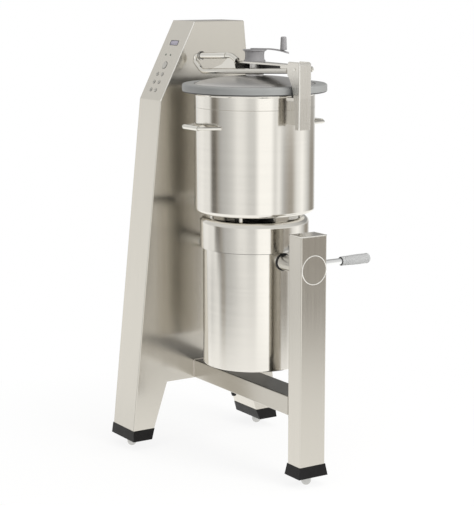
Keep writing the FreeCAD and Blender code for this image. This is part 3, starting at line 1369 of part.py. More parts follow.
def make_wiper():
    hub = turned("wiper_hub", [
        ("wiper_shaft_radius", "wiper_bottom"),
        ("wiper_base", "wiper_bottom"),
        ("wiper_base", "wiper_bottom + 4"),
        ("wiper_base - 3", "wiper_bottom + 7", "-4"),
        ("wiper_waist", "wiper_bottom + wiper_height * 0.5", "-60"),
        ("wiper_waist + 1", "crank_level - 8", "-60"),
        ("wiper_disc", "crank_level - 3", "-8"),
        ("wiper_disc", "crank_level"),
        ("0", "crank_level"),
        ("0", "wiper_seat"),
        ("wiper_shaft_radius", "wiper_seat")])
    shaft = cylinder("wiper_shaft", "wiper_shaft_radius", "wiper_seat - scraper_low", ("axis_x", "0", "scraper_low"))

    body = new_body("crank_strip")
    place("crank_flat", "wiper_disc + 1")
    place("crank_sag", "((crank_length - crank_flat)^2 + crank_droop^2) / (2 * crank_droop)")
    strip = outline(new_sketch(body, "crank_side", "XZ_Plane", "-crank_width / 2"), [
        ("-crank_width", "crank_level"),
        ("crank_flat", "crank_level"),
        ("crank_length", "crank_level - crank_droop", "-crank_sag"),
        ("crank_length", "crank_level - crank_droop + crank_thick"),
        ("crank_flat", "crank_level + crank_thick", "crank_sag"),
        ("-crank_width", "crank_level + crank_thick")])
    pad(body, strip, "crank_width", "crank_bar")
    plan_body = new_body("crank_plan")
    plan = outline(new_sketch(plan_body, "crank_plan_outline", "XY_Plane", "crank_level - 20"), [
        ("0", "-crank_width / 2", "crank_width / 2 * 1.0001"),
        ("crank_length - crank_tip", "-crank_tip"),
        ("crank_length - crank_tip", "crank_tip", "crank_tip * 1.0001"),
        ("0", "crank_width / 2")])
    pad(plan_body, plan, "60", "crank_plan_block")
    shaped = doc.addObject("Part::Common", "crank_shape")
    shaped.Base = body
    shaped.Tool = plan_body
    place("knob_base", "crank_level + crank_thick - (crank_pin - crank_flat)^2 / (2 * crank_sag) + 2.3")
    pin = cylinder("crank_stud", "crank_pin_radius", "crank_knob_height - 4", ("crank_pin", "0", "knob_base - 3"))
    crank = fuse("wiper_crank", [shaped, pin])
    stand(crank, ("axis_x", "0", "0"))
    lean(crank, (0, 0, 1), "crank_turn")

    knob = turned("crank_knob", [
        ("crank_pin_radius + running_fit", "knob_base"),
        ("crank_knob_base - 1.5", "knob_base"),
        ("crank_knob_base", "knob_base + 1.5"),
        ("crank_knob_top", "knob_base + crank_knob_height - 4"),
        ("crank_knob_top - 4", "knob_base + crank_knob_height", "4"),
        ("0", "knob_base + crank_knob_height"),
        ("0", "knob_base + crank_knob_height - 5"),
        ("crank_pin_radius + running_fit", "knob_base + crank_knob_height - 5")],
        ("axis_x + crank_pin * cos(crank_turn)", "crank_pin * sin(crank_turn)", "0"))

    hub_low = turned("scraper_hub_blank", [
        ("wiper_shaft_radius", "scraper_low + 2"), ("scraper_hub", "scraper_low + 2"),
        ("scraper_hub", "scraper_low + 30"), ("wiper_shaft_radius", "scraper_low + 30")], ("0", "0", "0"))
    reach = box("scraper_bar", "scraper_reach - scraper_hub + 2 - scraper_blade", "scraper_arm", "10",
                ("scraper_hub - 2", "-scraper_arm / 2", "scraper_low + 12"))
    tail = box("scraper_tail", "scraper_reach - scraper_hub - 10", "scraper_blade", "46",
               ("-scraper_reach + 12", "-scraper_blade / 2", "scraper_low + 12"))
    blade = box("scraper_edge", "scraper_blade", "26", "scraper_high - scraper_low",
                ("scraper_reach - scraper_blade - 3", "-13", "scraper_low"))
    scraper = fuse("scraper", [hub_low, reach, tail, blade])
    stand(scraper, ("axis_x", "0", "0"))
    lean(scraper, (0, 0, 1), "crank_turn")
    return [hub, shaft, crank, knob, scraper]


NODES = [make_column()]
NODES += make_rear_cover()
NODES += make_panel()
NODES += make_electrics()
NODES += make_frame()
NODES += make_feet()
NODES += make_trunnions()
NODES += make_lock()
NODES += make_motor()
NODES += make_bowl()
NODES += make_handles()
NODES += make_cutter()
NODES += make_bracket()
NODES += make_lid_frame()
NODES += make_lid()
NODES += make_wiper()
doc.recompute()

for obj in doc.Objects:
    if "Invalid" in obj.State or "Error" in obj.State:
        raise RuntimeError("%s could not be worked out: %s" % (obj.Name, obj.State))
for node in NODES:
    if node.Shape.isNull() or not node.Shape.isValid() or not node.Shape.Solids:
        raise RuntimeError("%s has no sound shape" % node.Label)

os.makedirs("parts", exist_ok=True)
for node in NODES:
    node.Shape.exportStep("parts/%s.step" % node.Label)
print("%d nodes written" % len(NODES))
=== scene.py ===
# %% [markdown]
# # A vertical cutter mixer, dressed for a studio picture
#
# The machine is a stainless steel food processor that stands on the kitchen floor. Its motor and
# bowl hang between a tall column and a short post, and tip forwards to empty the bowl. All its
# rigid shapes come from the imported model, so this notebook adds what that model can't carry:
# the finishes, the welds and small trim, the studio and the camera.
#
# The imported model is loaded first. Every object is in metres, on the machine's own axes: X runs
# from the column to the post, -Y towards the operator and Z up.

import math

import bmesh
import bpy
from mathutils import Matrix, Vector, noise

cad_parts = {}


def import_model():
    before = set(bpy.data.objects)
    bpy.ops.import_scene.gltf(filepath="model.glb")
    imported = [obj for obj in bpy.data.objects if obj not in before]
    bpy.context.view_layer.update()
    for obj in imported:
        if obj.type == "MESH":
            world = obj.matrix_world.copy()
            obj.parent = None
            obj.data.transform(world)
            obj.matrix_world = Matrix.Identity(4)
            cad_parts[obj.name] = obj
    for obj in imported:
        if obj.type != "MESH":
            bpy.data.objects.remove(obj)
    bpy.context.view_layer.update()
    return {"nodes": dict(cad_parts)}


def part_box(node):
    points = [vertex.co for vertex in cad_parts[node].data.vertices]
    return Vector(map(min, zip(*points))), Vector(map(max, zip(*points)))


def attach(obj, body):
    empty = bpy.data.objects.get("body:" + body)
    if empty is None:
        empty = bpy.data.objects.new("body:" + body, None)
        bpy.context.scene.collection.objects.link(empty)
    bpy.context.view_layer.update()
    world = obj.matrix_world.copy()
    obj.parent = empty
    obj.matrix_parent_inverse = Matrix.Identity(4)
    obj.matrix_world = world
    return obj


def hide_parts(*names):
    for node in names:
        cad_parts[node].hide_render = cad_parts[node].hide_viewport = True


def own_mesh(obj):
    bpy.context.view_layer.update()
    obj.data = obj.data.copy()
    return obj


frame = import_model()

# %% [markdown]
# ## Camera
#
# A product photographer stands well back and uses a long lens, so that upright edges stay
# upright. This camera is about five metres away, a little above the lid and to the right of the
# operator. Its turn and dip are given as two angles, which are easier to adjust than a target.

# %% Camera
PICTURE_HEIGHT = 506
FOCAL_PIXELS = 1559.8
SENSOR_HEIGHT = 36.0
CAMERA_PLACE = Vector((4.1019, -2.6844, 1.5461))
CAMERA_TURN = math.radians(57.1)
CAMERA_DIP = math.radians(10.1)

lens = bpy.data.cameras.new("studio_lens")
lens.sensor_fit = "VERTICAL"
lens.sensor_height = SENSOR_HEIGHT
lens.lens = FOCAL_PIXELS / PICTURE_HEIGHT * SENSOR_HEIGHT
lens.clip_end = 60
camera = bpy.data.objects.new("studio_camera", lens)
camera.location = CAMERA_PLACE
camera.rotation_euler = (math.pi / 2 - CAMERA_DIP, 0, CAMERA_TURN)
bpy.context.scene.collection.objects.link(camera)
bpy.context.scene.camera = camera
print("lens of %.0f mm, %.1f m from the bowl" % (lens.lens, CAMERA_PLACE.xy.length))

# %% [markdown]
# ## Studio
#
# Polished steel has no colour of its own to show: what is seen in it is the room. A studio
# gives a steel drum upright stripes by standing white screens and dark flags around it. The
# same room is built here in the world's background, as rings of brightness round the horizon,
# because it is seen in every steel piece at once and has no edge that could come into view.
# A stripe on the bowl is not the same lower down on the motor, so there is one ring at the
# height of the knee, one at the bowl and one at the head, with the floor's glow below them and
# a darker canopy above. Rays from the camera get plain white, as on a cut-out product picture.

# %% Node helpers
def add(tree, kind, **inputs):
    """Add a node and set its inputs by name, with _ for a space."""
    node = tree.nodes.new(kind)
    for name, value in inputs.items():
        node.inputs[name.replace("_", " ")].default_value = value
    return node


def join(tree, output, socket):
    tree.links.new(output, socket)


def maths(tree, operation, first, second=0.0):
    """One step of arithmetic; either side is a number or another node's output."""
    node = tree.nodes.new("ShaderNodeMath")
    node.operation = operation
    for socket, value in zip(node.inputs, (first, second)):
        if isinstance(value, (int, float)):
            socket.default_value = value
        else:
            join(tree, value, socket)
    return node.outputs[0]


def ramp(tree, factor, stops, interpolation="LINEAR"):
    """A colour ramp from (position, colour) stops."""
    node = tree.nodes.new("ShaderNodeValToRGB")
    node.color_ramp.interpolation = interpolation
    elements = node.color_ramp.elements
    while len(elements) < len(stops):
        elements.new(0.5)
    for element, (position, colour) in zip(elements, stops):
        element.position = position
        element.color = (*colour, 1)
    join(tree, factor, node.inputs[0])
    return node.outputs["Color"]


# %% Studio surroundings
WARM = (1.0, 0.992, 0.965)
BROWN = (1.0, 0.92, 0.80)
SCREENS = [
    # turn round the horizon in degrees, brightness at the height of the knee, the bowl and the head
    (-180, 0.55, 0.86, 0.86),
    (-168, 0.68, 1.00, 1.00),
    (-158, 0.90, 1.08, 1.04),
    (-150, 0.90, 1.10, 1.04),
    (-144, 0.74, 1.02, 0.97),
    (-129, 0.92, 1.02, 0.92),
    (-121, 1.00, 0.16, 0.28),
    (-113, 0.50, 0.16, 0.28),
    (-109, 0.38, 0.36, 0.40),
    (-103, 0.34, 0.50, 0.52),
    (-98, 0.52, 0.58, 0.60),
    (-88, 0.60, 0.66, 0.68),
    (-76, 0.70, 0.80, 0.82),
    (-65, 0.82, 1.05, 1.05),
    (-54, 0.92, 1.03, 1.03),
    (-43, 0.90, 0.80, 0.82),
    (-33, 0.92, 0.76, 0.88),
    (-24, 1.22, 1.30, 1.30),
    (-2, 1.42, 1.28, 1.36),
    (6, 0.98, 0.86, 0.94),
    (14, 0.86, 1.18, 1.06),
    (24, 0.30, 0.58, 1.04),
    (33, 0.28, 0.44, 1.04),
    (43, 0.28, 0.44, 1.04),
    (55, 0.95, 0.98, 1.04),
    (70, 1.02, 1.26, 1.06),
    (89, 0.70, 0.74, 0.80),
    (103, 0.40, 0.36, 0.60),
    (116, 0.40, 0.36, 0.60),
    (130, 0.80, 0.80, 0.80),
    (166, 0.48, 0.80, 0.80),
    (180, 0.55, 0.86, 0.86),
]
SHADE = 0.5
CANOPY = [
    # turn in degrees and brightness, above the lid
    (-180, 0.98),
    (-165, 0.84),
    (-147, 0.76),
    (-60, 0.85),
    (40, 0.80),
    (85, 0.62),
    (106, 0.36),
    (154, 0.37),
    (168, 0.80),
    (180, 0.98),
]
CEILING = 0.95
FLOOR_GLOW = 1.18

# where one light gives way to the next, in degrees over the horizon
FLOOR_TO_KNEE = (-13.8, -12.8)
KNEE_TO_BOWL = (-10.5, -10.0)
BOWL_TO_HEAD = (-6.5, -3.5)
HEAD_TO_CANOPY = (1.0, 5.0)
CANOPY_TO_CEILING = (50.0, 70.0)

world = bpy.data.worlds.new("studio_room")
bpy.context.scene.world = world
world.use_nodes = True
room = world.node_tree
room.nodes.clear()
direction = add(room, "ShaderNodeSeparateXYZ")
join(room, add(room, "ShaderNodeTexCoord").outputs["Generated"], direction.inputs[0])
turn = maths(room, "ARCTAN2", direction.outputs["Y"], direction.outputs["X"])
turn_share = maths(room, "ADD", maths(room, "DIVIDE", turn, 2 * math.pi), 0.5)


def ring_of_screens(rows):
    """A ramp round the horizon from (degrees, brightness, tint) rows."""
    return ramp(room, turn_share, [((degrees + 180) / 360, [level * part for part in tint])
                                   for degrees, level, tint in rows])


def above(lower, upper, start, end):
    """Blend two rings of light between two heights, given in degrees over the horizon."""
    share = add(room, "ShaderNodeMapRange", From_Min=math.sin(math.radians(start)),
                From_Max=math.sin(math.radians(end)))
    join(room, direction.outputs["Z"], share.inputs["Value"])
    blend = add(room, "ShaderNodeMix")
    blend.data_type = "RGBA"
    join(room, share.outputs["Result"], blend.inputs["Factor"])
    for socket, light in ((blend.inputs["A"], lower), (blend.inputs["B"], upper)):
        if isinstance(light, float):
            socket.default_value = [light * part for part in WARM] + [1]
        else:
            join(room, light, socket)
    return blend.outputs["Result"]


def toned(level):
    """Flags are brown and screens are white."""
    return BROWN if level < SHADE else WARM


knee_ring, bowl_ring, head_ring = (
    ring_of_screens([(row[0], row[height], toned(row[height])) for row in SCREENS]) for height in (1, 2, 3))
canopy_ring = ring_of_screens([(degrees, level, WARM) for degrees, level in CANOPY])
stands = above(FLOOR_GLOW, knee_ring, *FLOOR_TO_KNEE)
stands = above(stands, bowl_ring, *KNEE_TO_BOWL)
stands = above(stands, head_ring, *BOWL_TO_HEAD)
stands = above(stands, canopy_ring, *HEAD_TO_CANOPY)
surround = above(stands, CEILING, *CANOPY_TO_CEILING)
studio_glow = add(room, "ShaderNodeBackground", Strength=1.0)
join(room, surround, studio_glow.inputs["Color"])
white = add(room, "ShaderNodeBackground", Color=(1, 1, 1, 1), Strength=1.0)
light_path = add(room, "ShaderNodeLightPath")
shown = add(room, "ShaderNodeMixShader")
join(room, light_path.outputs["Is Camera Ray"], shown.inputs["Fac"])
join(room, studio_glow.outputs[0], shown.inputs[1])
join(room, white.outputs[0], shown.inputs[2])
join(room, shown.outputs[0], add(room, "ShaderNodeOutputWorld").inputs["Surface"])
bpy.context.scene.view_settings.view_transform = "Standard"
print("screens and flags round the horizon:", len(SCREENS))

# %% [markdown]
# The lamps only shape the light that the room already gives: a large soft one in front, a
# weaker one from the left for the narrow front of the column, and one from above. Soft
# lamps are large ones, so their size is chosen first and their power after it.

# %% Lamps
AIM = Vector((0.0, 0.0, 0.75))


def soft_lamp(name, place, width, height, power):
    """A rectangular lamp that looks at the middle of the machine."""
    lamp = bpy.data.lights.new(name, "AREA")
    lamp.shape = "RECTANGLE"
    lamp.size = width
    lamp.size_y = height
    lamp.energy = power
    lamp.color = WARM
    stand = bpy.data.objects.new(name, lamp)
    stand.location = place
    stand.rotation_euler = (AIM - Vector(place)).to_track_quat("-Z", "Y").to_euler()
    stand.visible_glossy = False
    bpy.context.scene.collection.objects.link(stand)
    return stand


soft_lamp("front_lamp", (3.5, 0.9, 2.3), 1.6, 2.2, 112)
soft_lamp("left_lamp", (-2.2, -3.6, 1.8), 1.4, 2.4, 8)
soft_lamp("top_lamp", (0.6, 0.4, 3.6), 2.0, 2.0, 26)

# %% [markdown]
# ## Floor
#
# The floor is a pale plane that takes the machine's soft shadow. Seen by the camera it is
# mostly a plain white glow, so that it runs into the white background with no line.

# %% Floor
FLOOR_HALF = 4.0
FLOOR_TONE = 0.86
SHADOW_REACH = (0.45, 1.3)
NEAR_GLOW = 0.86

floor_mesh = bpy.data.meshes.new("floor")
floor_mesh.from_pydata(
    [(-FLOOR_HALF, -FLOOR_HALF, 0), (FLOOR_HALF, -FLOOR_HALF, 0),
     (FLOOR_HALF, FLOOR_HALF, 0), (-FLOOR_HALF, FLOOR_HALF, 0)], [], [(0, 1, 2, 3)])
floor = bpy.data.objects.new("floor", floor_mesh)
bpy.context.scene.collection.objects.link(floor)
floor.visible_glossy = False

floor_paint = bpy.data.materials.new("pale_floor")
floor_paint.use_nodes = True
tree = floor_paint.node_tree
tree.nodes.clear()
mat = add(tree, "ShaderNodeBsdfDiffuse", Color=(FLOOR_TONE, FLOOR_TONE, FLOOR_TONE, 1))
glow = add(tree, "ShaderNodeEmission", Color=(1, 1, 1, 1), Strength=1.0)
path = add(tree, "ShaderNodeLightPath")
seen = maths(tree, "MAXIMUM", path.outputs["Is Camera Ray"], path.outputs["Is Transmission Ray"])
mix = add(tree, "ShaderNodeMixShader")
spot = add(tree, "ShaderNodeVectorMath")
spot.operation = "LENGTH"
join(tree, add(tree, "ShaderNodeTexCoord").outputs["Object"], spot.inputs[0])
fade = add(tree, "ShaderNodeMapRange", From_Min=SHADOW_REACH[0], From_Max=SHADOW_REACH[1],
           To_Min=NEAR_GLOW, To_Max=1.0)
join(tree, spot.outputs["Value"], fade.inputs["Value"])
join(tree, maths(tree, "MULTIPLY", seen, fade.outputs["Result"]), mix.inputs["Fac"])
join(tree, mat.outputs[0], mix.inputs[1])
join(tree, glow.outputs[0], mix.inputs[2])
join(tree, mix.outputs[0], add(tree, "ShaderNodeOutputMaterial").inputs["Surface"])
floor_mesh.materials.append(floor_paint)

# %% [markdown]
# ## Finishes
#
# A steel sheet is never one even grey. It has a fine grain from the belt that ground it, wider
# streaks along the same direction, and faint clouds from handling. Each of these is a noise
# texture that is stretched along one axis, and each drives the roughness, the colour and a
# shallow bump by a little. One helper makes all the steels, from the length of the grain on
# each axis, so that a post gets an upright grain and a crossbar a level one.

# %% Finish helpers
TURNED_RADIUS = 0.15
FINE_SHARE, WIDE_SHARE, CLOUD_SHARE = 0.35, 0.40, 0.25
SHEET_WAVE = (0.09, 0.09, 0.6)
WAVE_PERIOD = 0.314


def finish(name, colour, metallic=0.0, roughness=0.5):
    """A material with one even colour, ready for texture; returns it with its tree and shader."""
    material = bpy.data.materials.new(name)
    material.use_nodes = True
    shader = material.node_tree.nodes["Principled BSDF"]
    shader.inputs["Base Color"].default_value = (*colour, 1)
    shader.inputs["Metallic"].default_value = metallic
    shader.inputs["Roughness"].default_value = roughness
    return material, material.node_tree, shader


def stretched(tree, size, detail=4.0, turned=None):
    """Noise with blotches of a given size in metres on each axis.

    With turned, an axis through (x, y), the three sizes are across, around and along that axis.
    An angle times TURNED_RADIUS is the way round it.
    """
    place = add(tree, "ShaderNodeTexCoord").outputs["Object"]
    if turned is not None:
        apart = add(tree, "ShaderNodeSeparateXYZ")
        join(tree, place, apart.inputs[0])
        x = maths(tree, "SUBTRACT", apart.outputs["X"], turned[0])
        y = maths(tree, "SUBTRACT", apart.outputs["Y"], turned[1])
        radius = maths(tree, "SQRT", maths(tree, "ADD", maths(tree, "MULTIPLY", x, x),
                                          maths(tree, "MULTIPLY", y, y)))
        around = maths(tree, "MULTIPLY", maths(tree, "ARCTAN2", y, x), TURNED_RADIUS)
        rolled = add(tree, "ShaderNodeCombineXYZ")
        for socket, value in zip(rolled.inputs, (radius, around, apart.outputs["Z"])):
            join(tree, value, socket)
        place = rolled.outputs[0]
    scale = add(tree, "ShaderNodeMapping", Scale=[1 / length for length in size])
    join(tree, place, scale.inputs["Vector"])
    cloud = add(tree, "ShaderNodeTexNoise", Scale=1.0, Detail=detail, Roughness=0.6)
    join(tree, scale.outputs[0], cloud.inputs["Vector"])
    return cloud.outputs["Fac"]


def spread(tree, value, low, high, start=0.3, end=0.7):
    """Map a noise's middle range onto low to high."""
    node = add(tree, "ShaderNodeMapRange", From_Min=start, From_Max=end, To_Min=low, To_Max=high)
    join(tree, value, node.inputs["Value"])
    return node.outputs["Result"]


def tinted(tree, factor, first, second):
    """A colour between two, by a factor."""
    node = add(tree, "ShaderNodeMix")
    node.data_type = "RGBA"
    node.inputs["A"].default_value = (*first, 1)
    node.inputs["B"].default_value = (*second, 1)
    join(tree, factor, node.inputs["Factor"])
    return node.outputs["Result"]


def bumps(tree, height, depth, below=None):
    """A bump whose full height is depth metres."""
    node = add(tree, "ShaderNodeBump", Strength=1.0, Distance=depth)
    join(tree, height, node.inputs["Height"])
    if below is not None:
        join(tree, below, node.inputs["Normal"])
    return node.outputs["Normal"]


def steel(name, colour, rough, grain, streak, haze=0.25, grain_depth=0.00002, wave=0.0,
          turned=None):
    """Stainless steel: fine grain, wider streaks along it, and clouds of handling."""
    material, tree, shader = finish(name, colour, 1.0)
    fine = stretched(tree, grain, 3.0, turned)
    wide = stretched(tree, streak, 3.0, turned)
    cloud = stretched(tree, (haze, haze, haze), 4.0)
    mixed = maths(tree, "ADD", maths(tree, "MULTIPLY", fine, FINE_SHARE),
                  maths(tree, "MULTIPLY", wide, WIDE_SHARE))
    mixed = maths(tree, "ADD", mixed, maths(tree, "MULTIPLY", cloud, CLOUD_SHARE))
    join(tree, spread(tree, mixed, rough * 0.86, rough * 1.16), shader.inputs["Roughness"])
    darker = [part * 0.95 for part in colour]
    lighter = [min(part * 1.03, 1) for part in colour]
    join(tree, tinted(tree, spread(tree, mixed, 0, 1), darker, lighter), shader.inputs["Base Color"])
    normal = bumps(tree, fine, grain_depth)
    if wave:
        normal = bumps(tree, stretched(tree, SHEET_WAVE, 1.0), wave, normal)
    join(tree, normal, shader.inputs["Normal"])
    return material


def moulded(name, colour, rough, pit=0.0006, depth=0.00003, patch=0.06, spare=0.9):
    """Moulded plastic or rubber: a fine spark-eroded surface with soft patches of wear."""
    material, tree, shader = finish(name, colour, 0.0)
    fine = stretched(tree, (pit, pit, pit), 2.0)
    soft = stretched(tree, (patch, patch, patch), 4.0)
    join(tree, spread(tree, soft, rough * 0.85, rough * 1.12), shader.inputs["Roughness"])
    worn = [part * spare for part in colour]
    join(tree, tinted(tree, spread(tree, soft, 0, 1), worn, colour), shader.inputs["Base Color"])
    join(tree, bumps(tree, fine, depth), shader.inputs["Normal"])
    return material


def dress(material, *nodes):
    """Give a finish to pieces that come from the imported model."""
    for name in nodes:
        mesh = frame["nodes"][name].data
        mesh.materials.clear()
        mesh.materials.append(material)


# %% [markdown]
# The column is folded from sheet that was ground along its length, so its grain stands upright.
# The crossbar's grain is level and the post's upright, as on any tube that is ground on a belt.

# %% Steel of the stand
STAND_STEEL = (0.66, 0.635, 0.585)
POST_STEEL = (0.60, 0.576, 0.53)
# The crossbar's steel is the stand's steel made darker, as a painted reflection of the shaded floor under the
# machine.
BAR_STEEL_SHADED = (0.52, 0.498, 0.455)
BAR_TOP_SHADE = (0.10, 0.096, 0.091)

upright_steel = steel("upright_steel", STAND_STEEL, 0.21, (0.0006, 0.0006, 0.05), (0.009, 0.009, 0.7),
                      grain_depth=0.000008, wave=0.0004)
level_steel = steel("level_steel", BAR_STEEL_SHADED, 0.20, (0.05, 0.0006, 0.0006), (0.7, 0.009, 0.009))
dress(upright_steel, "column_shell", "rear_cover")
post_steel = steel("post_steel", POST_STEEL, 0.17, (0.0006, 0.0006, 0.05), (0.009, 0.009, 0.7), wave=0.0004)
dress(post_steel, "post_tube", "post_cap", "bearing_cap")
dress(level_steel, "crossbar")
turned_steel = steel("turned_steel", (0.66, 0.65, 0.62), 0.22, (0.0007, 0.0007, 0.0007), (0.01, 0.01, 0.01))
dress(turned_steel, "trunnion_left", "trunnion_right", "column_bearing", "post_bushing",
      "lock_bushing", "motor_bearings", "motor_shaft")

# %% [markdown]
# The bowl and the motor's housing are polished while they turn, which leaves faint rings
# round them. A little wave in the sheet is added, because a drawn bowl is never a perfect
# mirror: the stripes that it shows waver slightly on their way up.

# %% Steel of the bowl, motor and lid
AXIS = (0.053, 0.0)

drum_steel = steel("drum_steel", (0.745, 0.725, 0.685), 0.12, (0.004, 0.08, 0.0008), (0.02, 0.3, 0.012),
                   grain_depth=0.00001, wave=0.0004, turned=AXIS)
dress(drum_steel, "bowl_shell", "motor_housing", "motor_top_ring", "bowl_locators")
lid_steel = steel("lid_steel", (0.66, 0.65, 0.645), 0.34, (0.0008, 0.08, 0.004), (0.012, 0.3, 0.02),
                  grain_depth=0.00001, turned=AXIS)
dress(lid_steel, "lid_dome", "lid_boss")
plate_steel = steel("plate_steel", (0.72, 0.70, 0.66), 0.26, (0.0006, 0.0006, 0.04), (0.008, 0.008, 0.2))
dress(plate_steel, "lid_bracket", "lid_mount")
rod_steel = steel("rod_steel", (0.72, 0.705, 0.665), 0.10, (0.004, 0.004, 0.004), (0.03, 0.03, 0.03))
dress(rod_steel, "lid_arm_front", "bowl_handles", "hinge_pin", "cover_screws", "wiper_shaft", "lock_spring")
chrome = steel("chrome", (0.86, 0.87, 0.88), 0.07, (0.01, 0.01, 0.01), (0.05, 0.05, 0.05))
dress(chrome, "lock_rod")

# %% [markdown]
# Four pieces change colour at some place, each as painted shade. The top of the crossbar is painted
# darker than its sides, as painted shade and a painted dark reflection of the motor above it. The
# upright inner faces of the bridge over the lid are painted dark, as the shade inside its channel.
# The end of the handle's tube is painted black, as the shade inside its open end, and the rim of the
# lid is painted black along its bottom, as the shadow in the gap where it meets the bowl. A mask from
# the object's own coordinates does that: it is 0 on one side of a place and 1 on the other, with a
# step of a fraction of a millimetre.

# %% Two-tone masks for painted shade and shadow
def beyond(tree, axis, place, soft=0.0002):
    """1 where a coordinate is past a place, 0 before it."""
    split = add(tree, "ShaderNodeSeparateXYZ")
    join(tree, add(tree, "ShaderNodeTexCoord").outputs["Object"], split.inputs[0])
    step = add(tree, "ShaderNodeMapRange", From_Min=place - soft, From_Max=place + soft)
    join(tree, split.outputs[axis], step.inputs["Value"])
    return step.outputs["Result"]


def before(tree, axis, place):
    """1 where a coordinate is short of a place, 0 past it."""
    return maths(tree, "SUBTRACT", 1.0, beyond(tree, axis, place))


def two_tone(material, mask, colour, metallic, roughness):
    """Change a finish to another colour, metal share and roughness where a mask is 1."""
    tree = material.node_tree
    shader = tree.nodes["Principled BSDF"]
    blend = add(tree, "ShaderNodeMix")
    blend.data_type = "RGBA"
    join(tree, mask, blend.inputs["Factor"])
    join(tree, shader.inputs["Base Color"].links[0].from_socket, blend.inputs["A"])
    blend.inputs["B"].default_value = (*colour, 1)
    join(tree, blend.outputs["Result"], shader.inputs["Base Color"])
    rough = add(tree, "ShaderNodeMix")
    join(tree, mask, rough.inputs["Factor"])
    join(tree, shader.inputs["Roughness"].links[0].from_socket, rough.inputs["A"])
    rough.inputs["B"].default_value = roughness
    join(tree, rough.outputs["Result"], shader.inputs["Roughness"])
    share = add(tree, "ShaderNodeMix")
    join(tree, mask, share.inputs["Factor"])
    share.inputs["A"].default_value = shader.inputs["Metallic"].default_value
    share.inputs["B"].default_value = metallic
    join(tree, share.outputs["Result"], shader.inputs["Metallic"])


BLACK = (0.012, 0.012, 0.012)
BRIDGE_INSIDE_SHADE = (0.13, 0.125, 0.125)
BAR_TOP_BAND = 0.001

tree = level_steel.node_tree
# Painted shade: the top of the crossbar is darker, for the motor's shade and dark reflection above it.
two_tone(level_steel, beyond(tree, "Z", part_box("crossbar")[1].z - BAR_TOP_BAND), BAR_TOP_SHADE, 1.0, 0.30)

BRIDGE_UNDER = 1.2745
BRIDGE_INSIDE = 0.008
BRIDGE_BLOCK = -0.026
BRIDGE_BACK = 0.036
KNUCKLE_FACE = 0.258
UPRIGHT_LIMITS = (0.15, 0.25)
bridge_steel = steel("bridge_steel", (0.72, 0.70, 0.66), 0.24, (0.04, 0.0006, 0.0006), (0.2, 0.008, 0.008))
tree = bridge_steel.node_tree
inside = maths(tree, "MULTIPLY", beyond(tree, "Y", BRIDGE_INSIDE), before(tree, "Z", BRIDGE_UNDER))
inside = maths(tree, "MULTIPLY", inside, before(tree, "X", KNUCKLE_FACE - BRIDGE_BACK))
inside = maths(tree, "MULTIPLY", inside, beyond(tree, "X", BRIDGE_BLOCK))
facing = add(tree, "ShaderNodeSeparateXYZ")
join(tree, add(tree, "ShaderNodeTexCoord").outputs["Normal"], facing.inputs[0])
upright = add(tree, "ShaderNodeMapRange", From_Min=UPRIGHT_LIMITS[0], From_Max=UPRIGHT_LIMITS[1],
              To_Min=1.0, To_Max=0.0)
join(tree, maths(tree, "ABSOLUTE", facing.outputs["Z"]), upright.inputs["Value"])
inside = maths(tree, "MULTIPLY", inside, upright.outputs["Result"])
# Painted shade: the bridge's upright inner faces are dark, as the shade inside its channel.
two_tone(bridge_steel, inside, BRIDGE_INSIDE_SHADE, 0.5, 0.45)
dress(bridge_steel, "lid_frame")

GRIP_SHADE_START = -0.1708
grip_steel = steel("grip_steel", (0.76, 0.745, 0.71), 0.12, (0.03, 0.0008, 0.0008), (0.2, 0.006, 0.006))
# Painted shade: the end of the grip's tube is black, as the shade inside its open end.
two_tone(grip_steel, before(grip_steel.node_tree, "X", GRIP_SHADE_START), BLACK, 0.0, 0.45)
dress(grip_steel, "handle_grip")

# %% [markdown]
# The lid's rim, the grips and the hub are moulded. Their colour is quiet, so most of their look
# comes from how softly they shine: rubber hardly, a polyamide grip a little more.

# %% Rubber and plastic
RIM_SHADOW_LINE = 1.1948
rim_rubber = moulded("rim_rubber", (0.235, 0.24, 0.24), 0.44, patch=0.09)
# Painted shadow: the bottom of the rim is black, as the shadow in the gap over the bowl.
two_tone(rim_rubber, before(rim_rubber.node_tree, "Z", RIM_SHADOW_LINE), BLACK, 0.0, 0.5)
dress(rim_rubber, "lid_rim")
boot_plastic = moulded("boot_plastic", (0.009, 0.0085, 0.009), 0.42, patch=0.04, spare=0.7)
boot_plastic.node_tree.nodes["Principled BSDF"].inputs["Specular IOR Level"].default_value = 0.2
dress(boot_plastic, "foot_boots", "drive_collar", "crossbar_plug")
glide_steel = steel("glide_steel", (0.47, 0.47, 0.465), 0.25, (0.002, 0.002, 0.002), (0.01, 0.01, 0.01))
dress(glide_steel, "foot_glides")
buffer_rubber = moulded("buffer_rubber", (0.02, 0.02, 0.02), 0.6)
dress(buffer_rubber, "bracket_buffer")
grip_plastic = moulded("grip_plastic", (0.33, 0.335, 0.34), 0.40)
dress(grip_plastic, "lock_grip")
hub_plastic = moulded("hub_plastic", (0.24, 0.235, 0.245), 0.40)
dress(hub_plastic, "wiper_hub", "wiper_crank", "crank_knob")
scraper_plastic = moulded("scraper_plastic", (0.78, 0.78, 0.75), 0.45)
dress(scraper_plastic, "scraper")
button_plastic = moulded("button_plastic", (0.42, 0.41, 0.385), 0.35, patch=0.01)
dress(button_plastic, *[name for name in frame["nodes"] if name.startswith("button_")])
round_plastic = moulded("round_plastic", (0.45, 0.44, 0.415), 0.35, patch=0.01)
dress(round_plastic, "round_button")

# %% [markdown]
# The pieces inside are seldom seen, but the bowl and the covers do open in other pictures, so
# each gets a plain finish of its own: ground blades, varnished copper, laminated iron, zinc.

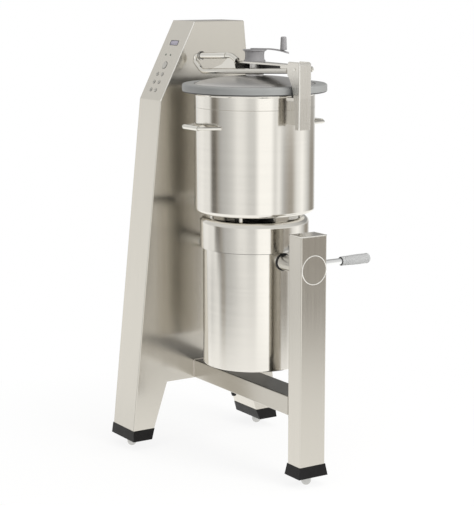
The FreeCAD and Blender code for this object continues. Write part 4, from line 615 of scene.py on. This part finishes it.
# %% Finishes of the inside
blade_steel = steel("blade_steel", (0.74, 0.74, 0.74), 0.22, (0.03, 0.0006, 0.0006), (0.05, 0.006, 0.006))
dress(blade_steel, "blade_hub", "blade_lower", "blade_middle", "blade_upper")
zinc = steel("zinc_plate", (0.60, 0.63, 0.66), 0.35, (0.004, 0.004, 0.004), (0.02, 0.02, 0.02))
dress(zinc, "mounting_plate")
cast_alloy = steel("cast_alloy", (0.60, 0.60, 0.59), 0.45, (0.0015, 0.0015, 0.0015), (0.01, 0.01, 0.01),
                   grain_depth=0.0001)
dress(cast_alloy, "motor_bottom_cover")
drive_plastic = moulded("drive_plastic", (0.035, 0.04, 0.05), 0.5)
dress(drive_plastic, "drive_unit")
board_lacquer = moulded("board_lacquer", (0.01, 0.10, 0.045), 0.3, pit=0.004, depth=0.0002)
dress(board_lacquer, "control_board")


def banded(name, first, second, pitch, metallic, rough):
    """Layers of sheet or wire: thin level bands in two colours, with a groove at each.

    A wave texture of scale 1 repeats every WAVE_PERIOD metres.
    """
    material, tree, shader = finish(name, first, metallic, rough)
    layers = tree.nodes.new("ShaderNodeTexWave")
    layers.bands_direction = "Z"
    layers.inputs["Scale"].default_value = WAVE_PERIOD / pitch
    layers.inputs["Distortion"].default_value = 0.4
    join(tree, add(tree, "ShaderNodeTexCoord").outputs["Object"], layers.inputs["Vector"])
    join(tree, tinted(tree, layers.outputs["Fac"], second, first), shader.inputs["Base Color"])
    join(tree, bumps(tree, layers.outputs["Fac"], pitch * 0.2), shader.inputs["Normal"])
    return material


dress(banded("laminated_iron", (0.14, 0.14, 0.15), (0.05, 0.05, 0.055), 0.001, 0.9, 0.5), "stator", "rotor")
dress(banded("varnished_wire", (0.62, 0.27, 0.11), (0.20, 0.07, 0.03), 0.0015, 0.8, 0.35), "stator_windings")

# %% [markdown]
# The display is a small window of tinted plastic with a lit panel behind it. From the
# operator's side it is a pale lilac, darker along its upper edge where the wall shades it.

# %% Display
display, tree, shader = finish("display_plastic", (0.30, 0.28, 0.36), 0.0, 0.12)
shade = stretched(tree, (0.03, 0.008, 0.008), 2.0)
join(tree, tinted(tree, spread(tree, shade, 0, 1), (0.19, 0.18, 0.24), (0.38, 0.36, 0.45)),
     shader.inputs["Base Color"])
shader.inputs["Coat Weight"].default_value = 0.6
dress(display, "display_window")

# %% [markdown]
# ## Welds
#
# The crossbar is welded to the column and the post, the trunnions to the motor, and the handles
# to the bowl. A bead of weld is a row of small ripples. It is made as a tube along the seam
# whose radius swells and shrinks every few millimetres. A plain ring would look like rubber,
# and a texture alone would leave the corner between two sheets too sharp.

# %% Tubes along a line
def tube_mesh(name, points, radii, closed, sides):
    """A round tube along a line of points, with a radius at each of them."""
    shape = bmesh.new()
    count = len(points)
    rings = []
    side = None
    for here, point in enumerate(points):
        before = points[here - 1] if closed or here else point
        after = points[(here + 1) % count] if closed or here < count - 1 else point
        along = (after - before).normalized()
        side = along.orthogonal() if side is None else side - along * side.dot(along)
        side.normalize()
        up = along.cross(side)
        ring = []
        for number in range(sides):
            angle = 2 * math.pi * number / sides
            offset = side * math.cos(angle) + up * math.sin(angle)
            ring.append(shape.verts.new(point + offset * radii[here]))
        rings.append(ring)
    pairs = list(zip(rings, rings[1:]))
    if closed:
        first = rings[0]
        last = rings[-1]
        shift = min(range(sides), key=lambda k: (first[k].co - last[0].co).length)
        pairs.append((last, first[shift:] + first[:shift]))
    else:
        shape.faces.new(list(reversed(rings[0])))
        shape.faces.new(rings[-1])
    for lower, upper in pairs:
        for number in range(sides):
            following = (number + 1) % sides
            shape.faces.new((lower[number], lower[following], upper[following], upper[number]))
    mesh = bpy.data.meshes.new(name)
    shape.to_mesh(mesh)
    shape.free()
    return mesh


def new_piece(name, mesh, material, body):
    """Put a mesh into the scene, smooth, on the body that it moves with."""
    mesh.materials.append(material)
    mesh.polygons.foreach_set("use_smooth", [True] * len(mesh.polygons))
    piece = bpy.data.objects.new(name, mesh)
    bpy.context.scene.collection.objects.link(piece)
    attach(piece, body)
    return piece


def line_piece(name, points, radii, material, body, closed=False, sides=10):
    """A new piece along a line; radii is one radius, or one for each point."""
    if isinstance(radii, float):
        radii = [radii] * len(points)
    return new_piece(name, tube_mesh(name, points, radii, closed, sides), material, body)


def walk(corners, step, closed=False):
    """Points about every step metres along a line through corners."""
    corners = [Vector(corner) for corner in corners]
    ends = corners[1:] + (corners[:1] if closed else [])
    points = []
    for start, end in zip(corners, ends):
        pieces = max(1, round((end - start).length / step))
        points += [start.lerp(end, share / pieces) for share in range(pieces)]
    return points if closed else points + [corners[-1]]


# %% Weld beads
RIPPLE = 0.0028
SWELL = 0.08
UNEVEN = 0.12
UNEVEN_SCALE = 90
weld_steel = steel("weld_steel", (0.60, 0.56, 0.51), 0.36, (0.0012, 0.0012, 0.0012), (0.006, 0.006, 0.006),
                   grain_depth=0.00008)


def bead(name, corners, radius, body, closed=False):
    """A weld bead along corners: ripples a few millimetres apart, a little uneven."""
    points = walk(corners, RIPPLE / 2, closed)
    radii = []
    for number, point in enumerate(points):
        uneven = noise.noise(point * UNEVEN_SCALE) * UNEVEN
        radii.append(radius * (1 + (SWELL if number % 2 else -SWELL) + uneven))
    return line_piece(name, points, radii, weld_steel, body, closed, 8)


bar_low, bar_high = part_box("crossbar")
CORNER = 0.004
for end, x in (("left", bar_low.x), ("right", bar_high.x)):
    front = [(x, bar_low.y, bar_low.z + CORNER), (x, bar_low.y, bar_high.z - CORNER)]
    over = [(x, bar_low.y + CORNER, bar_high.z), (x, bar_high.y - CORNER, bar_high.z)]
    back = [(x, bar_high.y, bar_high.z - CORNER), (x, bar_high.y, bar_low.z + CORNER)]
    route = front + over + back if end == "left" else over
    bead("crossbar_weld_" + end, route, 0.0024, "frame")

MOTOR_RADIUS = (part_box("motor_housing")[1].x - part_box("motor_housing")[0].x) / 2
TRUNNION_RADIUS = (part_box("trunnion_left")[1].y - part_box("trunnion_left")[0].y) / 2
TRUNNION_LEVEL = 0.677


def motor_seam(sign, radius, lift, count):
    """Points round a trunnion on the motor's wall; sign is -1 at the column and 1 at the post."""
    seam = []
    for number in range(count):
        angle = 2 * math.pi * number / count
        y = radius * math.cos(angle)
        x = AXIS[0] + sign * (math.sqrt(MOTOR_RADIUS ** 2 - y ** 2) + lift)
        seam.append(Vector((x, y, TRUNNION_LEVEL + radius * math.sin(angle))))
    return seam


for side, sign in (("left", -1), ("right", 1)):
    bead("trunnion_weld_" + side, motor_seam(sign, TRUNNION_RADIUS, 0.0, 60), 0.0014,
         "tilting_unit", True)
print("ripples are %.1f mm apart" % (RIPPLE * 1000))

ARM_RADIUS = 0.0085
ARM_START = Vector((KNUCKLE_FACE, 0.014, 1.2645))
ARM_RUN = Vector((-1, 0.094, -0.0475))


def on_arm(out, side):
    """The middle of an arm of the lid, a distance out from the knuckle; side is 1 behind, -1 in front."""
    spot = ARM_START + ARM_RUN * out
    return Vector((spot.x, side * spot.y, spot.z))


ARM_SEAM_OUT = 0.0006
ARM_SEAM_RISE = 0.0002
for name, side in (("front", -1), ("rear", 1)):
    middle = on_arm(ARM_SEAM_OUT, side)
    along = (on_arm(ARM_SEAM_OUT + 0.01, side) - middle).normalized()
    across = along.cross(Vector((0, 0, 1))).normalized()
    up = across.cross(along)
    ring = [middle + (across * math.cos(math.radians(turn)) + up * math.sin(math.radians(turn)))
            * (ARM_RADIUS + ARM_SEAM_RISE) for turn in range(0, 360, 6)]
    line_piece("arm_weld_" + name, ring, 0.0013, weld_steel, "lid", True, 8)
GUSSET_FAR = 0.366
GUSSET_NEAR = 0.256
GUSSET_HALF = 0.0026
WELD_SINK = 0.0005
for name, away in (("front", -1), ("rear", 1)):
    foot = [on_arm(out, -1) + Vector((0, away * GUSSET_HALF, ARM_RADIUS - WELD_SINK))
            for out in (GUSSET_NEAR, GUSSET_FAR)]
    bead("gusset_weld_" + name, foot, 0.0011, "lid")

# %% [markdown]
# Each handle's rod meets the bowl at a slant, so its seam is an oval that also bends round the
# wall. Every point of a circle round the rod is slid along the rod until it lies on the wall,
# which is the root of a quadratic equation.

# %% Handle welds
BOWL_RADIUS = 0.188
HANDLE_LEVEL = (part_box("bowl_handles")[0].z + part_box("bowl_handles")[1].z) / 2
ROD_FOOT = 0.073
ROD_BEND = 0.052
ROD_REACH = 0.230
ROD_RADIUS = 0.005


def on_wall(point, along):
    """Slide a point along a direction until it is one bowl radius from the axis."""
    start = Vector((point.x - AXIS[0], point.y))
    slope = Vector((along.x, along.y))
    a, b, c = slope.dot(slope), 2 * start.dot(slope), start.dot(start) - BOWL_RADIUS ** 2
    root = math.sqrt(b * b - 4 * a * c)
    slide = min(((-b - root) / (2 * a), (-b + root) / (2 * a)), key=abs)
    return point + along * slide


for face, turn_y in (("front", -1), ("rear", 1)):
    for side, turn_x in (("left", -1), ("right", 1)):
        wall_y = math.sqrt(BOWL_RADIUS ** 2 - ROD_FOOT ** 2)
        foot = Vector((AXIS[0] + turn_x * ROD_FOOT, turn_y * wall_y, HANDLE_LEVEL))
        bend = Vector((AXIS[0] + turn_x * ROD_BEND, turn_y * ROD_REACH, HANDLE_LEVEL))
        along = (bend - foot).normalized()
        across = along.cross(Vector((0, 0, 1)))
        seam = []
        for number in range(30):
            angle = 2 * math.pi * number / 30
            ring = foot + across * ROD_RADIUS * math.cos(angle)
            ring.z += ROD_RADIUS * math.sin(angle)
            seam.append(on_wall(ring, along))
        bead("handle_weld_%s_%s" % (face, side), seam, 0.0014, "tilting_unit", True)

# %% [markdown]
# ## Small trim
#
# A thin dark line round each control is what the eye reads as a button. The real line is the
# gap between the button and the sheet, dark with shade, so a flat dark ring that stands a hair above
# the sheet paints that shade. Each ring takes its place from the button's own vertices.

# %% Panel trim
PANEL_SLOPE = math.radians(62.8)
PANEL_OUT = Vector((0, -math.sin(PANEL_SLOPE), math.cos(PANEL_SLOPE)))
PANEL_UP = Vector((0, math.cos(PANEL_SLOPE), math.sin(PANEL_SLOPE)))
PANEL_TURN = Matrix(((1, 0, 0), PANEL_UP, PANEL_OUT)).transposed().to_4x4()
BUTTON_PROUD = 0.0015
FLAT = 0.0002
SHADE_RING_GAP = 0.0003
SHADE_RING_RISE = 0.0004
SMALL_SHADE_RING = 0.0009
ROUND_SHADE_RING = 0.0018


def top_middle(node, out):
    """The middle and the radius of the face of a piece that lies furthest along a direction."""
    corners = [vertex.co for vertex in frame["nodes"][node].data.vertices]
    reach = max(corner.dot(out) for corner in corners)
    top = [corner for corner in corners if reach - corner.dot(out) < FLAT]
    return sum(top, Vector()) / len(top), max((corner - top[0]).length for corner in top) / 2


def turned_mesh(name, profile, sides=48):
    """A closed ring or button turned round Z from (radius, height) points."""
    shape = bmesh.new()
    rings = []
    for radius, height in profile:
        if radius < 1e-6:
            rings.append([shape.verts.new((0, 0, height))] * sides)
            continue
        rings.append([shape.verts.new((radius * math.cos(2 * math.pi * n / sides),
                                       radius * math.sin(2 * math.pi * n / sides), height))
                      for n in range(sides)])
    hollow = profile[0][0] > 1e-6
    for lower, upper in list(zip(rings, rings[1:])) + ([(rings[-1], rings[0])] if hollow else []):
        for number in range(sides):
            following = (number + 1) % sides
            corners = [lower[number], lower[following], upper[following], upper[number]]
            shape.faces.new(list(dict.fromkeys(corners)))
    bmesh.ops.recalc_face_normals(shape, faces=shape.faces)
    mesh = bpy.data.meshes.new(name)
    shape.to_mesh(mesh)
    shape.free()
    return mesh


def on_slope(name, mesh, middle, material, body):
    """Lay a mesh that was made flat on the panel's slope."""
    mesh.transform(Matrix.Translation(middle) @ PANEL_TURN)
    return new_piece(name, mesh, material, body)


seal_rubber = moulded("seal_rubber", (0.10, 0.10, 0.095), 0.6)
flat_black = moulded("flat_black", BLACK, 0.5)
lamp_plastic = moulded("lamp_plastic", (0.20, 0.21, 0.19), 0.25, patch=0.01)
mark_paint = moulded("mark_paint", (0.09, 0.09, 0.085), 0.5, patch=0.01)
highlight_steel = steel("highlight_steel", (0.93, 0.92, 0.89), 0.22, (0.002, 0.002, 0.002), (0.01, 0.01, 0.01))
for name in frame["nodes"]:
    if name.startswith("button_") or name == "round_button":
        middle, radius = top_middle(name, PANEL_OUT)
        base = middle - PANEL_OUT * BUTTON_PROUD
        inner = radius + SHADE_RING_GAP
        outer = radius + (ROUND_SHADE_RING if name == "round_button" else SMALL_SHADE_RING)
        profile = [(inner, 0), (inner, SHADE_RING_RISE), (outer, SHADE_RING_RISE * 0.8), (outer, 0)]
        # Painted shade: a dark ring round the button, for the shade in its gap.
        ring = turned_mesh(name + "_seal", profile)
        on_slope(name + "_seal", ring, base, seal_rubber, "frame")

# %% [markdown]
# The buttons carry a small printed mark each, a dot or a short bar, which reads as a symbol from
# a step away. Over each of the two lamps sits a low lens. Both are turned like the rings, laid
# on the slope, and a mark rides on its own button so that it goes in with it.

# %% Marks and lenses
MARK_RISE = 0.00025
MARK_RADIUS = 0.0011
MARK_HALF = 0.0014
LENS_RADIUS = 0.0034
LAMP_FLAT = 0.0004


def pill(name, half, radius, height):
    """A flat bar with round ends along X."""
    shape = bmesh.new()
    rim = []
    for number in range(24):
        angle = 2 * math.pi * number / 24
        shift = half if math.cos(angle) > 0 else -half
        rim.append((shift + radius * math.cos(angle), radius * math.sin(angle)))
    low = [shape.verts.new((x, y, 0)) for x, y in rim]
    high = [shape.verts.new((x * 0.98, y * 0.9, height)) for x, y in rim]
    shape.faces.new(list(reversed(low)))
    shape.faces.new(high)
    for number in range(24):
        following = (number + 1) % 24
        shape.faces.new((low[number], low[following], high[following], high[number]))
    mesh = bpy.data.meshes.new(name)
    shape.to_mesh(mesh)
    shape.free()
    return mesh


for name in frame["nodes"]:
    if name.startswith("button_"):
        middle = top_middle(name, PANEL_OUT)[0]
        half = MARK_HALF if name.endswith("left") else 0.0
        mark = pill(name + "_mark", half, MARK_RADIUS, MARK_RISE)
        on_slope(name + "_mark", mark, middle, mark_paint, name)
board = [vertex.co for vertex in frame["nodes"]["control_board"].data.vertices]
proud = max(corner.dot(PANEL_OUT) for corner in board)
lit = [corner for corner in board if proud - corner.dot(PANEL_OUT) < LAMP_FLAT]
centre = sum(corner.x for corner in lit) / len(lit)
for side, sign in (("left", -1), ("right", 1)):
    ring = [corner for corner in lit if (corner.x - centre) * sign > 0]
    middle = sum(ring, Vector()) / len(ring)
    lens_shape = turned_mesh("lamp_lens", [(0, 0.0009), (LENS_RADIUS * 0.6, 0.0007), (LENS_RADIUS, 0.0002),
                                           (LENS_RADIUS, 0.0), (0, 0.0)], 32)
    on_slope("lamp_lens_" + side, lens_shape, middle, lamp_plastic, "frame")

# %% [markdown]
# The display sits behind a thin dark frame. The frame follows the window's outline, a rectangle
# with round corners, which is walked as a line and given a thin round section.

# %% Display frame
window = [vertex.co for vertex in frame["nodes"]["display_window"].data.vertices]
face = top_middle("display_window", PANEL_OUT)[0]
half_wide = (max(corner.x for corner in window) - min(corner.x for corner in window)) / 2
ups = [corner.dot(PANEL_UP) for corner in window if face.dot(PANEL_OUT) - corner.dot(PANEL_OUT) < FLAT]
half_high = (max(ups) - min(ups)) / 2
middle = Vector((face.x, 0, 0)) + PANEL_UP * (max(ups) + min(ups)) / 2 + PANEL_OUT * face.dot(PANEL_OUT)
BEZEL_CORNER = 0.003
bezel = []
for number in range(64):
    angle = 2 * math.pi * number / 64
    x = math.copysign(half_wide - BEZEL_CORNER, math.cos(angle)) + BEZEL_CORNER * math.cos(angle)
    up = math.copysign(half_high - BEZEL_CORNER, math.sin(angle)) + BEZEL_CORNER * math.sin(angle)
    bezel.append(middle + Vector((x, 0, 0)) + PANEL_UP * up)
line_piece("display_bezel", bezel, 0.0009, mark_paint, "frame", True, 8)

# %% [markdown]
# Four rings finish the joints between the big pieces. A ring of bright steel round the cap on the
# post is a painted highlight on the cap's edge, a black ring runs round each trunnion where it meets
# the motor, and a black band under the motor's top ring is painted shadow under its overhang. A slim
# bead of bright steel along the long edge of the slope is a painted highlight on the fold.

# %% Rings and the highlight on the edge
CAP_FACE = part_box("bearing_cap")[1].x
CAP_RADIUS = (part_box("bearing_cap")[1].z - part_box("bearing_cap")[0].z) / 2
CAP_SINK = 0.0004
CAP_INSET = 0.0012
cap_ring = []
for turn in range(0, 360, 4):
    angle = math.radians(turn)
    cap_ring.append(Vector((CAP_FACE - CAP_SINK, (CAP_RADIUS - CAP_INSET) * math.cos(angle),
                            TRUNNION_LEVEL + (CAP_RADIUS - CAP_INSET) * math.sin(angle))))
# Painted highlight: a ring of bright steel on the cap's edge.
line_piece("cap_ring", cap_ring, 0.0015, highlight_steel, "frame", True)

BLACK_RING_OUT = 0.0015
BLACK_RING_LIFT = 0.001
# A black ring runs round each trunnion where it meets the motor.
for side, sign in (("left", -1), ("right", 1)):
    line_piece("trunnion_black_ring_" + side, motor_seam(sign, TRUNNION_RADIUS + BLACK_RING_OUT, BLACK_RING_LIFT, 72), 0.0021,
               flat_black, "tilting_unit", True)

JOINT_LEVEL = 0.7052
# Painted shadow: a black band under the motor's top ring, for the shadow under its overhang.
SHADOW_BAND_PROFILE = [(0.1616, -0.0012), (0.1616, 0.0012), (0.1640, 0.0012), (0.1634, -0.0012)]
shadow_band = turned_mesh("ring_shadow_band", SHADOW_BAND_PROFILE, 128)
shadow_band.transform(Matrix.Translation((AXIS[0], AXIS[1], JOINT_LEVEL)))
new_piece("ring_shadow_band", shadow_band, flat_black, "tilting_unit")

SHELL_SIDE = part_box("column_shell")[1].x
EDGE_INSET = 0.0012
KINK = Vector((SHELL_SIDE - EDGE_INSET, -0.1664, 1.1487))
SLOPE_TOP = Vector((SHELL_SIDE - EDGE_INSET, -0.0376, 1.3990))
# Painted highlight: a bead of bright steel along the fold of the slope.
line_piece("highlight_edge", walk([KINK, SLOPE_TOP], 0.01), 0.0016, highlight_steel, "frame")

# %% [markdown]
# A slim bead of bright steel along a corner is a painted highlight: a rounded corner shines more
# than the faces beside it. The front corner of the lid's bracket and the lid of the post each get
# one. Beside them, a black ring between the loop's rod and the end of its grip is painted shade, for
# the hollow of the grip's open end.

# %% Highlighted corners and the shade at the grip's end
CORNER_PROUD = 0.0003
CORNER_RADIUS = 0.0013
CORNER_REACH = 0.004
CORNER_SHORT = 0.001
GRIP_END = 0.006


def bright_corner(name, corners, body, closed=False):
    """A slim bead of bright steel along a corner, as a painted highlight."""
    line = walk(corners, 0.008, closed)
    return line_piece(name, line, CORNER_RADIUS, highlight_steel, body, closed, 8)


bracket = [vertex.co for vertex in frame["nodes"]["lid_bracket"].data.vertices]
bracket_low, bracket_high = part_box("lid_bracket")
corner = [point for point in bracket
          if point.x > bracket_high.x - CORNER_REACH and point.y < bracket_low.y + CORNER_REACH]
corner_x = bracket_high.x - CORNER_RADIUS + CORNER_PROUD
corner_y = bracket_low.y + CORNER_RADIUS - CORNER_PROUD
corner_low = min(point.z for point in corner) + CORNER_SHORT
corner_high = max(point.z for point in corner) - CORNER_SHORT
print("bracket corner from %.1f to %.1f mm" % (corner_low * 1000, corner_high * 1000))
bracket_line = [(corner_x, corner_y, corner_low), (corner_x, corner_y, corner_high)]
bright_corner("bracket_corner", bracket_line, "tilting_unit")
cap_low, cap_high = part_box("post_cap")
inset = CORNER_RADIUS - CORNER_PROUD
cap_line = [(x, y, cap_high.z - inset) for x, y in (
    (cap_low.x + inset, cap_low.y + inset), (cap_high.x - inset, cap_low.y + inset),
    (cap_high.x - inset, cap_high.y - inset), (cap_low.x + inset, cap_high.y - inset))]
bright_corner("post_corner", cap_line, "frame", True)

grip = [vertex.co for vertex in frame["nodes"]["handle_grip"].data.vertices]
grip_ends = []
for way in (-1, 1):
    reach = max(point.x * way for point in grip)
    group = [point for point in grip if reach - point.x * way < GRIP_END]
    grip_ends.append(sum(group, Vector()) / len(group))
grip_run = (grip_ends[1] - grip_ends[0]).normalized()
GRIP_SHADE_PROFILE = [(0.0080, 0.0), (0.0122, 0.0), (0.0130, 0.0008), (0.0130, 0.0030), (0.0122, 0.0038),
          (0.0080, 0.0038)]
hollow_shade = turned_mesh("grip_hollow_shade", GRIP_SHADE_PROFILE)
hollow_shade.transform(Matrix.Translation(grip_ends[0]) @ grip_run.to_track_quat("Z", "Y").to_matrix().to_4x4())
# Painted shade: a black ring at the grip's end, for the shade inside the open tube.
new_piece("grip_hollow_shade", hollow_shade, flat_black, "lid")
print("grip runs", [round(part, 3) for part in grip_run], "from", [round(part, 4) for part in grip_ends[0]])

# %% [markdown]
# The brake's rod is pushed by a coil spring between its pad and the wall of the post. The packed
# model has a pile of rings there, which can't give way. A wound wire takes its place, and the pile
# of rings is hidden. Half a coil at each end is wound flat, as on any compression spring.

# %% Lock spring
WIRE = 0.0011
TURNS = 4.5
STEPS = 24
spring_low, spring_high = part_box("lock_spring")
spring_radius = (spring_high.x - spring_low.x) / 2 - WIRE
spring_x, spring_z = (spring_low.x + spring_high.x) / 2, (spring_low.z + spring_high.z) / 2
wire_low, wire_high = spring_low.y + WIRE, spring_high.y - WIRE
coil = []
for number in range(int(TURNS * STEPS) + 1):
    angle = 2 * math.pi * number / STEPS
    share = min(max((number / STEPS - 0.5) / (TURNS - 1.0), 0.0), 1.0)
    coil.append(Vector((spring_x + spring_radius * math.cos(angle), wire_low + (wire_high - wire_low) * share,
                        spring_z + spring_radius * math.sin(angle))))
spring = line_piece("lock_coil", coil, WIRE, rod_steel, "frame")
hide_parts("lock_spring")
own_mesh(spring)
